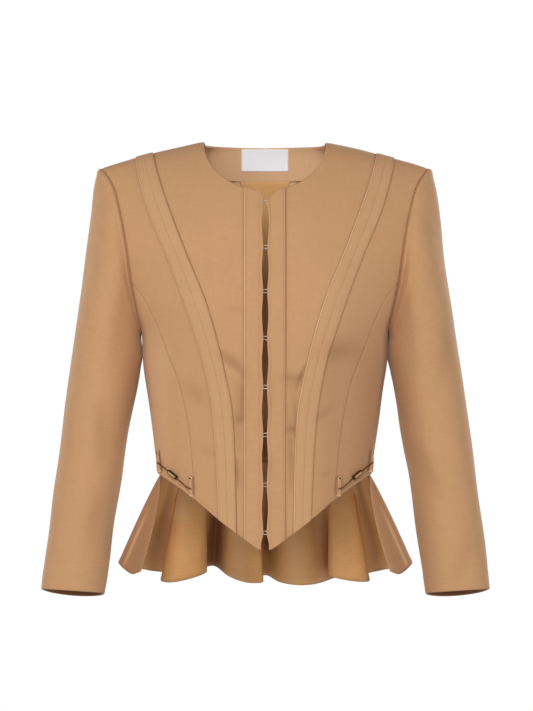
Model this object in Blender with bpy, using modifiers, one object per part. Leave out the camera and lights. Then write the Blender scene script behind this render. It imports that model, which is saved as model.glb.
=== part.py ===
"""Gabardine jacket, filled out as if worn: a short collarless body with a hooked, pointed front,
strips from shoulder to hem, long sleeves and a fluted peplum at the back waist.

Metres. +X is the wearer's left, +Y runs from front to back and +Z is up. The origin lies midway
between the two neck ends of the shoulder seams. A place on the body is an angle from the centre
front or centre back and a level below the shoulder line; surface() gives its point.
"""

import math

import bmesh
import bpy
import numpy as np
from mathutils import Matrix, Vector
from mathutils.bvhtree import BVHTree

CLOTH = 0.0014  # wall of the gabardine with its interlining
LINING = 0.0010
SEAM = 0.0003  # gap between sewn pieces
SEAM_LEVEL = 0.03  # width of the row along the shoulder seam, which turns the wall's edge upright
ARMHOLE_GAP = 0.0007  # gap round the sleeve head, where the walls turn

NECK_HALF = 0.0790  # neck end of the shoulder seam
SHOULDER_HALF = 0.2119  # armhole end of the shoulder seam
SHOULDER_SLOPE = 0.2543
NECK_TOP = 0.0013  # height of the neck end
SHOULDER_BOW = 0.0018
NECK_DEPTH = 0.0665  # front neckline below the neck ends
NECK_BACK_LEVEL = 0.401
NECK_UPRIGHT = 0.18  # the lower, the more upright the back of the neck is
NECK_UPRIGHT_SPAN = (0.055, 0.170)  # distances from the middle between which that fades
TURN = {"front": 0.130, "back": 0.060}  # height over which the shoulder rounds over
SECTION_POWER = 0.92  # below 1 the front and back are flatter than an ellipse
BUST = {"x": 0.084, "z": -0.212, "out": 0.011, "wide": 0.052, "high": 0.075}

# Outside of the body: height, half width, depth of the front, depth of the back.
BODY_ROWS = (
    (0.020, 0.2400, 0.070, 0.080),
    (-0.034, 0.2320, 0.077, 0.086),
    (-0.070, 0.2225, 0.085, 0.093),
    (-0.110, 0.2080, 0.095, 0.099),
    (-0.150, 0.1945, 0.102, 0.103),
    (-0.182, 0.1838, 0.106, 0.103),
    (-0.215, 0.1722, 0.108, 0.101),
    (-0.250, 0.1600, 0.107, 0.097),
    (-0.282, 0.1576, 0.104, 0.091),
    (-0.320, 0.1530, 0.099, 0.084),
    (-0.360, 0.1480, 0.094, 0.077),
    (-0.400, 0.1427, 0.091, 0.072),
    (-0.430, 0.1390, 0.090, 0.070),
    (-0.530, 0.1340, 0.094, 0.072),
)
# Armhole, from the underarm to the shoulder: share of its length, angle, height.
ARMHOLE_ROWS = (
    (0.00, 90.0, -0.2500),
    (0.12, 81.5, -0.2425),
    (0.25, 74.5, -0.2180),
    (0.40, 69.2, -0.1820),
    (0.55, 64.5, -0.1500),
    (0.72, 60.8, -0.1080),
    (0.86, 59.3, -0.0690),
    (0.94, 61.3, -0.0490),
    (1.00, 66.1, -0.0325),
)
PRINCESS_SHARE = 0.40  # where the princess seam runs into the armhole
# Princess seam: height, distance from the middle.
PRINCESS_ROWS = (
    (-0.4598, 0.0888),
    (-0.4265, 0.0914),
    (-0.3720, 0.0970),
    (-0.3150, 0.1085),
    (-0.2705, 0.1255),
    (-0.2270, 0.1430),
    (-0.2000, 0.1575),
    (-0.1820, 0.1718),
)
# Shoulder-to-hem strip: height, inner edge, outer edge.
STRIP_ROWS = (
    (-0.0140, 0.1452, 0.1690),
    (-0.0436, 0.1373, 0.1633),
    (-0.0944, 0.1198, 0.1477),
    (-0.1535, 0.0966, 0.1228),
    (-0.2039, 0.0759, 0.1039),
    (-0.2471, 0.0626, 0.0890),
    (-0.2945, 0.0512, 0.0755),
    (-0.3513, 0.0408, 0.0662),
    (-0.4018, 0.0380, 0.0622),
    (-0.5200, 0.0357, 0.0570),
)
# Hem of the fronts: distance from the middle, height.
HEM_ROWS = (
    (0.0000, -0.5262),
    (0.0126, -0.5185),
    (0.0316, -0.5043),
    (0.0633, -0.4806),
    (0.0888, -0.4598),
    (0.1318, -0.4320),
    (0.1400, -0.4285),
)
BACK_HEM = -0.4150  # at the centre back
SIDE_HEM = -0.4285

BAND_EDGE = 0.0261  # inner edge of the front bands
BAND_THICK = 0.0012
HOOK_ROWS = (-0.0821, -0.1396, -0.1952, -0.2542, -0.3159, -0.3766, -0.4398, -0.5003)  # heights
GAP_AT_HOOK = 0.0021  # half the gap between the fronts
GAP_BETWEEN = 0.0037
GAP_AT_HEM = 0.0050
FRONT_FOOT = -0.5215  # foot of the hooked edge

# Sleeve: settle (0 at the armhole, 1 where only the section counts), outer x, z, inner x, z,
# middle y, depth in front of it, depth behind it, rise of the front, dip of the back.
SLEEVE_ROWS = (
    (0.00, 0.2119, -0.0325, 0.1600, -0.2500, 0.000, 0.046, 0.048, 0.000, 0.000),
    (0.05, 0.2142, -0.0342, 0.1614, -0.2518, 0.000, 0.048, 0.050, 0.000, 0.000),
    (0.14, 0.2174, -0.0400, 0.1614, -0.2540, 0.001, 0.050, 0.053, 0.000, 0.000),
    (0.30, 0.2222, -0.0590, 0.1612, -0.2565, 0.001, 0.053, 0.056, 0.000, 0.000),
    (0.50, 0.2274, -0.0980, 0.1608, -0.2600, 0.002, 0.055, 0.058, 0.000, 0.000),
    (0.75, 0.2343, -0.1580, 0.1598, -0.2660, 0.002, 0.056, 0.059, 0.000, 0.000),
    (1.00, 0.2434, -0.2220, 0.1594, -0.2760, 0.002, 0.056, 0.059, 0.000, 0.000),
    (1.00, 0.2515, -0.2800, 0.1624, -0.2950, 0.002, 0.055, 0.058, 0.000, 0.000),
    (1.00, 0.2604, -0.3450, 0.1736, -0.3560, 0.002, 0.052, 0.056, 0.000, 0.000),
    (1.00, 0.2692, -0.4150, 0.1852, -0.4250, 0.001, 0.048, 0.053, 0.002, 0.003),
    (1.00, 0.2778, -0.4830, 0.1952, -0.4925, -0.005, 0.043, 0.050, 0.004, 0.007),
    (1.00, 0.2845, -0.5360, 0.2018, -0.5435, -0.012, 0.038, 0.047, 0.004, 0.009),
    (1.00, 0.2886, -0.5776, 0.2077, -0.5831, -0.019, 0.034, 0.046, 0.0035, 0.011),
)
SLEEVE_EASE = {"left": 0.0026, "right": 0.0}  # how much each sleeve stands out at its outer side

# Hem of the peplum from the wearer's right side round the back: x, y, z, a row for each turn of it.
PEPLUM_ROWS = (
    (-0.1612, -0.015, -0.5555),
    (-0.1742, 0.001, -0.5602),
    (-0.1927, 0.034, -0.5480),
    (-0.1735, 0.095, -0.5600),
    (-0.1545, 0.120, -0.5660),
    (-0.1285, 0.112, -0.5695),
    (-0.1378, 0.086, -0.5770),
    (-0.1240, 0.070, -0.5777),
    (-0.0990, 0.076, -0.5730),
    (-0.0800, 0.096, -0.5670),
    (-0.0850, 0.124, -0.5640),
    (-0.0690, 0.148, -0.5620),
    (-0.0470, 0.112, -0.5738),
    (-0.0225, 0.082, -0.5792),
    (-0.0045, 0.076, -0.5784),
    (-0.0085, 0.102, -0.5740),
    (0.0030, 0.124, -0.5730),
    (0.0205, 0.096, -0.5797),
    (0.0440, 0.075, -0.5818),
    (0.0620, 0.075, -0.5810),
    (0.0770, 0.096, -0.5795),
    (0.0935, 0.124, -0.5760),
    (0.0965, 0.106, -0.5725),
    (0.0855, 0.084, -0.5690),
    (0.0930, 0.071, -0.5716),
    (0.1130, 0.069, -0.5754),
    (0.1300, 0.074, -0.5774),
    (0.1382, 0.086, -0.5772),
    (0.1330, 0.108, -0.5708),
    (0.1545, 0.120, -0.5660),
    (0.1745, 0.095, -0.5600),
    (0.1938, 0.034, -0.5480),
    (0.1762, 0.001, -0.5602),
    (0.1625, -0.015, -0.5555),
)
# How the peplum grows from waist to hem: share of its hem from a free edge, power; above 1 it hangs
# straight at first.
GROWTH_ROWS = ((0.00, 1.70), (0.025, 1.25), (0.055, 0.88), (0.12, 0.95), (0.50, 1.00))
PEPLUM_SINK = 0.0008  # gap below the back's hem
PEPLUM_COLUMNS = 93
PEPLUM_STEPS = 5

FRONT_LOW, FRONT_HIGH = 9, 7  # rows below and above the princess seam's top
BACK_LOW, BACK_HIGH = 8, 12  # rows below and above the underarm
BAND_SPLIT = (0.0, 0.5, 1.0)
NECK_SPLIT = (0.0, 0.20, 0.38, 0.52, 0.62, 0.81, 1.0)
NECK_COLUMN = 0.62  # of the way from the band to the strip, where the neckline ends
NECK_REACH = 4  # the higher, the sooner the rows below the neckline straighten
OUTER_SPLIT = (0.0, 0.35, 0.70, 1.0)
SIDE_SPLIT = (0.0, 0.28, 0.54, 0.77, 0.93, 1.0)
BACK_NECK_SPLIT = (0.0, 0.25, 0.50, 0.75, 1.0)
BACK_SIDE_SPLIT = (0.0, 0.22, 0.44, 0.64, 0.80, 0.93, 1.0)
FRONT_ARM_SHARES = (0.40, 0.50, 0.60, 0.70, 0.80, 0.89, 0.96, 1.0)
BACK_ARM_SHARES = (0.0, 0.07, 0.15, 0.24, 0.33, 0.42, 0.52, 0.62, 0.72, 0.82, 0.90, 0.96, 1.0)

FACING_FOOT = -0.0420
FACING_HALF = 0.1190
LINING_TOP = -0.0432
LINING_LIFT = 0.0040  # its hem above the back's hem
LABEL = {"half": 0.0312, "top": -0.0005, "foot": -0.0303, "thick": 0.0006}
HANGER = {"x": 0.0385, "half": 0.0050, "top": -0.0440, "foot": -0.0680, "thick": 0.0010}

# Belt loops: angle from the centre front, top, foot.
LOOPS = {"front": (42.6, -0.4300, -0.4555), "side": (72.5, -0.3990, -0.4260)}
LOOP_HALF = 0.0035
LOOP_THICK = 0.0010
LOOP_STAND = 0.0028  # how far its middle stands out
BAR_RADIUS = 0.0008
# Side bar: angle, height, distance from the cloth, a row for each point that it passes.
BAR_ROWS = (
    (72.9, -0.4122, 0.0040),
    (70.5, -0.4137, 0.0040),
    (64.4, -0.4192, 0.0031),
    (56.6, -0.4284, 0.0030),
    (50.0, -0.4363, 0.0034),
    (44.8, -0.4440, 0.0040),
    (41.4, -0.4460, 0.0040),
)
SLIDE_AT = (56.6, -0.4284, 0.0030)
SLIDE = (0.0160, 0.0052, 0.0040, 0.0006)  # length, height, depth, wall
WIRE = 0.00045
EYE_HALF = 0.0021

CAMEL = (0.552, 0.312, 0.153, 1.0)
GOLDEN = (0.500, 0.270, 0.098, 1.0)
WHITE = (0.85, 0.85, 0.86, 1.0)
BRASS = (0.290, 0.165, 0.050, 1.0)
SILVER = (0.70, 0.70, 0.69, 1.0)


def curve(rows, rounded=False):
    """A table's other columns at any value of its first, smooth; rounded lets it swing past a row."""
    table = np.array(sorted(rows), float)
    place, values = table[:, 0], table[:, 1:]
    slope = np.diff(values, axis=0) / np.diff(place)[:, None]
    if rounded:
        middle = (values[2:] - values[:-2]) / (place[2:] - place[:-2])[:, None]
    else:
        same = slope[:-1] * slope[1:] > 0
        total = np.where(same, slope[:-1] + slope[1:], 1)
        middle = np.where(same, 2 * slope[:-1] * slope[1:] / total, 0)
    tangent = np.vstack([slope[:1], middle, slope[-1:]])

    def at(where):
        where = min(max(where, place[0]), place[-1])
        k = min(max(int(np.searchsorted(place, where)) - 1, 0), len(place) - 2)
        step = place[k + 1] - place[k]
        t = (where - place[k]) / step
        rise = t * t * (3 - 2 * t)
        ends = (1 - rise) * values[k] + rise * values[k + 1]
        leave, arrive = t * (1 - t) ** 2 * tangent[k], t * t * (t - 1) * tangent[k + 1]
        return ends + step * (leave + arrive)

    return at


BODY = curve(BODY_ROWS)
ARMHOLE = curve(ARMHOLE_ROWS, rounded=True)
PRINCESS = curve(PRINCESS_ROWS)
STRIP = curve(STRIP_ROWS)
HEM = curve(HEM_ROWS)
GROWTH = curve(GROWTH_ROWS)


def blend(first, second, share):
    return first + (second - first) * share


def shoulder(x):
    """Height of the shoulder line, carried on across the neck."""
    if x < NECK_HALF:
        return NECK_TOP + SHOULDER_SLOPE * (NECK_HALF**2 - x**2) / (2 * NECK_HALF)
    along = min((x - NECK_HALF) / (SHOULDER_HALF - NECK_HALF), 1)
    return NECK_TOP + 4 * SHOULDER_BOW * along * (1 - along) - SHOULDER_SLOPE * (x - NECK_HALF)


def drop_of(level, facing):
    """Metres below the shoulder line at this level; the shoulder has rounded over at level 1."""
    if level < 1:
        return TURN[facing] * (1 - math.cos(level * math.pi / 2))
    return TURN[facing] * (1 + (level - 1) * math.pi / 2)


def level_of(drop, facing):
    share = max(drop, 0) / TURN[facing]
    if share < 1:
        return math.acos(1 - share) * 2 / math.pi
    return 1 + (share - 1) * 2 / math.pi


def spot(x, z, facing="front"):
    """Angle and level of the place at this distance from the middle and height."""
    angle = math.asin(min(x / BODY(z)[0], 1))
    return np.array([angle, level_of(shoulder(x) - z, facing)])


def spot_at(angle, z, facing="front"):
    """Angle and level of the place at this angle, in degrees, and height."""
    return spot(BODY(z)[0] * math.sin(math.radians(angle)), z, facing)


def surface(place, facing="front"):
    """The point of the body's outside at this angle and level, on the wearer's left."""
    angle, level = place
    z = -0.2
    for _ in range(10):
        x = BODY(z)[0] * math.sin(angle)
        z = shoulder(x) - drop_of(level, facing)
    front, back = BODY(z)[1:]
    across = max(math.cos(angle), 0) ** SECTION_POWER
    round_over = math.sin(min(level, 1) * math.pi / 2)
    if facing == "back":
        first, last = NECK_UPRIGHT_SPAN
        out = min(max((x - first) / (last - first), 0), 1)
        upright = blend(NECK_UPRIGHT, 1, out * out * (3 - 2 * out))
        return np.array([x, back * across * round_over**upright, z])
    spread = ((x - BUST["x"]) / BUST["wide"]) ** 2 + ((z - BUST["z"]) / BUST["high"]) ** 2
    fullness = BUST["out"] * math.exp(-spread) * min(1, 2 * max(math.cos(angle), 0))
    return np.array([x, -front * across * round_over - fullness, z])


def sheet(places, facing="front"):
    return np.array([[surface(place, facing) for place in row] for row in places])


def armhole(share, facing="front"):
    angle, z = ARMHOLE(share)
    return spot_at(min(angle, 90), z, facing)


def rail(line, low, high, count, facing="front"):
    """Places up a line that gives a distance from the middle at each height."""
    places = []
    for level in np.linspace(low, high, count):
        x = 0.1
        for _ in range(12):
            z = shoulder(x) - drop_of(level, facing)
            x = float(line(z))
        places.append(spot(x, z, facing))
    return np.array(places)


def fill(left, right, foot, top, shares, reach=1):
    """Places of a patch between two rails of as many rows, its foot and its top."""
    rows = []
    for j, (first, last) in enumerate(zip(left, right)):
        up = j / (len(left) - 1)
        row = []
        for i, share in enumerate(shares):
            low = foot[i] - blend(left[0], right[0], share)
            high = top[i] - blend(left[-1], right[-1], share)
            row.append(blend(first, last, share) + (1 - up) * low + up**reach * high)
        rows.append(row)
    return np.array(rows)


def seamed(places):
    """Places with a narrow row more, just below the top."""
    down = places[-2] - places[-1]
    row = places[-1] + down * SEAM_LEVEL / down[:, 1:]
    return np.concatenate([places[:-1], row[None], places[-1:]])


def hem_places(first, last, shares):
    return [spot(x, float(HEM(x)[0])) for x in (blend(first, last, s) for s in shares)]


def neckline(turn):
    """Place on the front neckline, from 0 at the middle to 1 at the shoulder."""
    angle = turn * math.pi / 2
    return spot(NECK_HALF * math.sin(angle), -NECK_DEPTH * math.cos(angle))


def shoulder_place(x, facing="front"):
    return spot(x, shoulder(x), facing)


def crossing(line):
    """Distance from the middle at which a line meets the front hem."""
    x = 0.05
    for _ in range(20):
        x = float(line(float(HEM(x)[0])))
    return x


def inner_strip(z):
    return STRIP(z)[0]


def outer_strip(z):
    return STRIP(z)[1]


def hooked_edge():
    """Rail of the hooked edge, with a row at each hook and midway between hooks."""
    places = [spot(GAP_AT_HEM, FRONT_FOOT)]
    for low, high in zip(HOOK_ROWS[:0:-1], HOOK_ROWS[-2::-1]):
        places += [spot(GAP_AT_HOOK, low), spot(GAP_BETWEEN, (low + high) / 2)]
    places.append(spot(GAP_AT_HOOK, HOOK_ROWS[0]))
    return np.array(places + [neckline(math.asin(GAP_BETWEEN / NECK_HALF) * 2 / math.pi)])


def seam_rail():
    """Rail of the front's outer edge: the princess seam, then the armhole to the shoulder."""
    foot = level_of(shoulder(PRINCESS_ROWS[0][1]) - PRINCESS_ROWS[0][0], "front")
    top = armhole(PRINCESS_SHARE)
    seam = rail(lambda z: PRINCESS(z)[0], foot, top[1], FRONT_LOW + 1)
    seam[-1] = top
    return np.vstack([seam, [armhole(share) for share in FRONT_ARM_SHARES[1:]]])


def front_places():
    """Places of a whole front, in columns from the hooked edge to the princess seam."""
    rows = FRONT_LOW + FRONT_HIGH + 1
    inner_x, outer_x = crossing(inner_strip), crossing(outer_strip)
    seam_x = PRINCESS_ROWS[0][1]
    band_turn = math.asin(BAND_EDGE / NECK_HALF) * 2 / math.pi

    def from_hem(x):
        return level_of(shoulder(x) - float(HEM(x)[0]), "front")

    edge = hooked_edge()
    band = rail(lambda z: BAND_EDGE, from_hem(BAND_EDGE), neckline(band_turn)[1], rows)
    inner = rail(inner_strip, from_hem(inner_x), 0, rows)
    outer = rail(outer_strip, from_hem(outer_x), 0, rows)
    seam = seam_rail()
    inner_top, outer_top = surface(inner[-1])[0], surface(outer[-1])[0]

    def neck_top(share):
        if share <= NECK_COLUMN:
            return neckline(blend(band_turn, 1, share / NECK_COLUMN))
        along = (share - NECK_COLUMN) / (1 - NECK_COLUMN)
        return shoulder_place(blend(NECK_HALF, inner_top, along))

    start = math.asin(GAP_BETWEEN / NECK_HALF) * 2 / math.pi
    feet = [hem_places(*ends, shares) for *ends, shares in (
        (GAP_AT_HEM, BAND_EDGE, BAND_SPLIT), (BAND_EDGE, inner_x, NECK_SPLIT),
        (inner_x, outer_x, BAND_SPLIT), (outer_x, seam_x, OUTER_SPLIT))]
    feet[0][0] = edge[0]
    tops = [[neckline(blend(start, band_turn, share)) for share in BAND_SPLIT],
            [neck_top(share) for share in NECK_SPLIT],
            shoulder_places(inner_top, outer_top, BAND_SPLIT),
            shoulder_places(outer_top, SHOULDER_HALF, OUTER_SPLIT)]
    patches = (
        fill(edge, band, feet[0], tops[0], BAND_SPLIT),
        fill(band, inner, feet[1], tops[1], NECK_SPLIT, NECK_REACH),
        fill(inner, outer, feet[2], tops[2], BAND_SPLIT),
        fill(outer, seam, feet[3], tops[3], OUTER_SPLIT),
    )
    return np.concatenate([patches[0]] + [patch[:, 1:] for patch in patches[1:]], axis=1)


def shoulder_places(first, last, shares, facing="front"):
    return [shoulder_place(blend(first, last, share), facing) for share in shares]


def side_front_places():
    """Places of a side front, in columns from the princess seam to the side seam."""
    seam = seam_rail()[: FRONT_LOW + 1]
    levels = np.linspace(spot_at(90, SIDE_HEM)[1], armhole(0)[1], FRONT_LOW + 1)
    side = np.array([[math.pi / 2, level] for level in levels])
    foot = hem_places(PRINCESS_ROWS[0][1], BODY(SIDE_HEM)[0], SIDE_SPLIT)
    top = [armhole(PRINCESS_SHARE * (1 - share)) for share in SIDE_SPLIT]
    return fill(seam, side, foot, top, SIDE_SPLIT)


def back_hem(angle):
    return blend(BACK_HEM, SIDE_HEM, math.sin(angle) ** 2)


def back_neckline(turn):
    """Place on the back neckline, from 0 at the middle to 1 at the shoulder."""
    angle = turn * math.pi / 2
    rise = math.sin(NECK_BACK_LEVEL * math.pi / 2) * math.cos(angle)
    level = math.asin(rise) * 2 / math.pi
    x = NECK_HALF * math.sin(angle)
    return spot(x, shoulder(x) - drop_of(level, "back"), "back")


def back_side_rail(top_share=1.0):
    """Rail of the back's outer edge: the side seam, then the armhole."""
    levels = np.linspace(spot_at(90, SIDE_HEM, "back")[1], armhole(0, "back")[1], BACK_LOW + 1)
    side = [[math.pi / 2, level] for level in levels]
    arm = [armhole(share * top_share, "back") for share in BACK_ARM_SHARES[1:]]
    return np.array(side + arm)


def inner_rail(low, high, outer):
    """Rail inside the back, even below and above the row at the underarm."""
    underarm = (outer[BACK_LOW, 1] - outer[0, 1]) / (outer[-1, 1] - outer[0, 1])
    pace = np.interp(np.arange(len(outer)), (0, BACK_LOW, len(outer) - 1), (0, underarm, 1))
    return np.array([blend(low, high, share) for share in pace])


def back_places():
    """Places of half the back, in columns from the centre back to the side."""
    side = back_side_rail()
    middle = inner_rail(spot(0, BACK_HEM, "back"), back_neckline(0), side)
    foot_angle = math.radians(38)
    neck_foot = spot_at(38, back_hem(foot_angle), "back")
    neck = inner_rail(neck_foot, back_neckline(1), side)

    def foot(first, last, shares):
        angles = [blend(first, last, share) for share in shares]
        return [spot_at(math.degrees(angle), back_hem(angle), "back") for angle in angles]

    inner = fill(middle, neck, foot(0, foot_angle, BACK_NECK_SPLIT),
                 [back_neckline(share) for share in BACK_NECK_SPLIT], BACK_NECK_SPLIT)
    outer = fill(neck, side, foot(foot_angle, math.pi / 2, BACK_SIDE_SPLIT),
                 shoulder_places(NECK_HALF, SHOULDER_HALF, BACK_SIDE_SPLIT, "back"), BACK_SIDE_SPLIT)
    return np.concatenate([inner, outer[:, 1:]], axis=1)


def normals(points):
    """Unit normals of a grid of points, along its columns crossed with its rows."""
    cross = np.cross(np.gradient(points, axis=1), np.gradient(points, axis=0))
    return cross / np.linalg.norm(cross, axis=2, keepdims=True)


def moved(points, out):
    """Points moved away from the body's middle line by this much."""
    normal = normals(points)
    facing = np.sign((normal * points * (1, 1, 0)).sum(axis=2, keepdims=True).sum())
    return points + normal * facing * out


def trimmed(points, sides, by=SEAM / 2):
    """Points with the named edges drawn in, which leaves the seams' gaps."""
    points = points.copy()
    for side in sides:
        edge, inner = {
            "left": (np.s_[:, 0], np.s_[:, 1]),
            "right": (np.s_[:, -1], np.s_[:, -2]),
            "foot": (np.s_[0], np.s_[1]),
            "top": (np.s_[-1], np.s_[-2]),
        }[side]
        along = points[inner] - points[edge]
        points[edge] += along / np.linalg.norm(along, axis=-1, keepdims=True) * by
    return points


def resting(points, panel, depth):
    """Points brought to the facets of a panel, then this far inside it."""
    tree = BVHTree.FromBMesh(facets(panel))
    laid = [[tree.find_nearest(Vector(point))[0] for point in row] for row in points]
    return moved(np.array(laid), -depth)


def mirrored(points):
    return points * (-1, 1, 1)


def across(points):
    """A half that starts at the middle, joined to its mirror image."""
    return np.concatenate([mirrored(points)[:, :0:-1], points], axis=1)


def material(name, colour, rough, metallic=0.0):
    made = bpy.data.materials.get(name) or bpy.data.materials.new(name)
    made.use_nodes = True
    shader = made.node_tree.nodes["Principled BSDF"]
    shader.inputs["Base Color"].default_value = colour
    shader.inputs["Roughness"].default_value = rough
    shader.inputs["Metallic"].default_value = metallic
    return made


def add(name, data, look):
    """Puts a mesh or curve into the jacket's collection as an object of its own."""
    obj = bpy.data.objects.new(name, data)
    data.materials.append(look)
    JACKET.objects.link(obj)
    return obj


def facets(points):
    """A grid moved onto these points, each of its squares split along the shorter diagonal."""
    rows, columns = points.shape[:2]
    bm = bmesh.new()
    bmesh.ops.create_grid(bm, x_segments=columns - 1, y_segments=rows - 1, size=1)
    for vert in bm.verts:
        i = round((vert.co.x + 1) / 2 * (columns - 1))
        j = round((vert.co.y + 1) / 2 * (rows - 1))
        vert.co = points[j, i]
    bmesh.ops.triangulate(bm, faces=bm.faces, quad_method="SHORT_EDGE")
    return bm


def cloth(name, points, thick, look, inward, tube=False):
    """A wall on a grid of points, thickened to the side that inward points to from its first face."""
    bm = facets(points)
    if tube:
        bmesh.ops.remove_doubles(bm, verts=bm.verts, dist=1e-6)
    bm.normal_update()
    middle = max(bm.faces, key=lambda face: face.calc_area())
    if middle.normal.dot(Vector(inward) - middle.calc_center_median()) > 0:
        bmesh.ops.reverse_faces(bm, faces=bm.faces)
    mesh = bpy.data.meshes.new(name)
    bm.to_mesh(mesh)
    bm.free()
    obj = add(name, mesh, look)
    wall = obj.modifiers.new("wall", "SOLIDIFY")
    wall.thickness = thick
    wall.offset = -1
    wall.use_even_offset = False
    wall.use_quality_normals = True
    return obj


def tube(name, points, radius, look, resolution=0):
    """A round wire along a run of points, with closed ends."""
    data = bpy.data.curves.new(name, "CURVE")
    data.dimensions = "3D"
    data.bevel_depth = radius
    data.bevel_resolution = resolution
    data.use_fill_caps = True
    spline = data.splines.new("POLY")
    spline.points.add(len(points) - 1)
    for point, place in zip(spline.points, points):
        point.co = (*place, 1)
    return add(name, data, look)


def pair(name, points, thick, look, inward=(0, 0, -0.25)):
    """The wearer's left piece and its mirror image."""
    cloth(f"{name}_left", points, thick, look, inward)
    cloth(f"{name}_right", mirrored(points), thick, look, mirrored(np.array(inward)))


def build_body(camel):
    front = trimmed(sheet(seamed(front_places())), ("right", "top"))
    pair("front", front, CLOTH, camel)
    raised = moved(front, SEAM + BAND_THICK)
    pair("front_band", raised[:, : len(BAND_SPLIT)], BAND_THICK, camel)
    first = len(BAND_SPLIT) + len(NECK_SPLIT) - 2
    pair("shoulder_strip", raised[:, first : first + len(BAND_SPLIT)], BAND_THICK, camel)
    side = trimmed(sheet(side_front_places()), ("left", "right", "top"))
    pair("side_front", side, CLOTH, camel)
    back = trimmed(sheet(seamed(back_places()), "back"), ("right", "top"))
    back = trimmed(back, ("left",), 0.7 * SEAM)
    pair("back", back, CLOTH, camel)


def armhole_ring():
    """Points round the armhole, from the shoulder down the front and up the back."""
    front = list(FRONT_ARM_SHARES[:0:-1]) + [PRINCESS_SHARE * (1 - s) for s in SIDE_SPLIT]
    ring = [surface(armhole(share)) for share in front]
    return np.array(ring + [surface(armhole(s, "back"), "back") for s in BACK_ARM_SHARES[1:]])


def sleeve_ring(row, cosines):
    """Points of one sleeve section at these shares of the way from its inner to its outer edge."""
    _, outer_x, outer_z, inner_x, inner_z, middle, front, back, rise, dip = row
    outer, inner = np.array([outer_x, middle, outer_z]), np.array([inner_x, middle, inner_z])
    points = []
    for i, cosine in enumerate(cosines):
        aside = math.sqrt(max(1 - cosine * cosine, 0))
        toward = (0, -front, rise) if i <= len(cosines) // 2 else (0, back, -dip)
        points.append(blend(inner, outer, (1 + cosine) / 2) + aside * np.array(toward))
    return np.array(points)


def sleeve_points():
    ring = armhole_ring()
    first = SLEEVE_ROWS[0]
    span = np.array([first[1] - first[3], 0, first[2] - first[4]])
    centre = np.array([first[1] + first[3], 0, first[2] + first[4]]) / 2
    held = np.clip((ring - centre) @ span * 2 / (span @ span), -1, 1)
    count = len(ring) - 1
    even = np.array([math.cos(2 * math.pi * i / count) for i in range(count + 1)])
    away = ring - sleeve_ring(first, held)
    rows = [sleeve_ring(r, blend(held, even, r[0])) + (1 - r[0]) * away for r in SLEEVE_ROWS]
    out = rows[1] - rows[0]
    rows[0] = rows[0] + out / np.linalg.norm(out, axis=1, keepdims=True) * ARMHOLE_GAP
    for row in rows:
        row[-1] = row[0]
    return np.array(rows)


def build_sleeves(camel):
    points = sleeve_points()
    x, z = points[..., 0], points[..., 2]
    inner, outer = x.min(axis=1, keepdims=True), x.max(axis=1, keepdims=True)
    reach = np.sin(math.pi * np.clip((-0.20 - z) / 0.50, 0, 1)) * (x - inner) / (outer - inner)
    for name, side in (("left", 1), ("right", -1)):
        eased = np.stack([(x + SLEEVE_EASE[name] * reach) * side, points[..., 1], z], axis=-1)
        cloth(f"sleeve_{name}", eased, CLOTH, camel, (0.205 * side, 0, -0.25), tube=True)


def peplum_hem():
    """The peplum's hem at any share of its length."""
    table = np.array(PEPLUM_ROWS)
    run = np.concatenate([[0], np.cumsum(np.linalg.norm(np.diff(table, axis=0), axis=1))])
    return curve(np.column_stack([run / run[-1], table]).tolist(), rounded=True)


def peplum_points():
    """Points of the peplum, from its hem up to the waist, in columns from right to left."""
    hem = peplum_hem()
    rows = []
    for up in np.linspace(0, 1, PEPLUM_STEPS + 1):
        row = []
        for share in np.linspace(0, 1, PEPLUM_COLUMNS + 1):
            angle = abs(0.5 - share) * math.pi
            top = surface(spot_at(math.degrees(angle), back_hem(angle) - PEPLUM_SINK, "back"), "back")
            top[0] = math.copysign(top[0] - 0.0026 * math.sin(angle) ** 4, share - 0.5)
            growth = (1 - up) ** float(GROWTH(min(share, 1 - share))[0])
            point = blend(top, hem(share), growth)
            point[2] = blend(top[2], hem(share)[2], 1 - up)
            row.append(point)
        rows.append(row)
    return np.array(rows)


def build_peplum(camel, golden):
    outer = peplum_points()
    cloth("peplum", outer, CLOTH, camel, (0, 0, -0.45))
    flare = normals(outer)
    if flare[PEPLUM_STEPS, PEPLUM_COLUMNS // 2, 1] > 0:
        flare = -flare
    inner = outer + flare * (CLOTH + 3 * SEAM)
    inner = trimmed(inner, ("foot", "left", "right", "top"), 0.0015)
    cloth("peplum_lining", inner, LINING, golden, (0, 0, -0.45))


def facing_places():
    """Places of half the back neck facing, in columns from the middle to the shoulder."""
    columns = []
    for turn in np.linspace(0, 1, 9):
        angle = turn * math.pi / 2
        x = FACING_HALF * math.sin(angle)
        top = back_neckline(turn)
        end = shoulder(FACING_HALF)
        z = blend(end, FACING_FOOT, max(math.cos(angle), 0) ** 0.4)
        low = spot(x, min(z, shoulder(x) - 0.0004), "back")
        columns.append([blend(low, top, up) for up in np.linspace(0.0, 0.97, 6)])
    return np.array(columns).transpose(1, 0, 2)


def lining_places():
    """Places of half the back lining, in columns from the middle to the side."""
    side = back_side_rail(0.93)
    low = spot(0, BACK_HEM + LINING_LIFT, "back")
    side[0] = spot_at(90, SIDE_HEM + LINING_LIFT, "back")
    middle = inner_rail(low, spot(0, LINING_TOP, "back"), side)
    split = sorted({0.38 * s for s in BACK_NECK_SPLIT} | {blend(0.38, 1, s) for s in BACK_SIDE_SPLIT})
    angles = [share * math.pi / 2 for share in split]
    foot = [spot_at(math.degrees(a), back_hem(a) + LINING_LIFT, "back") for a in angles]
    top_z = surface(side[-1], "back")[2]
    end = surface(side[-1], "back")[0]
    top = [spot(end * s, blend(LINING_TOP, top_z, s * s), "back") for s in split]
    return fill(middle, side, foot, top, split)


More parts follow.
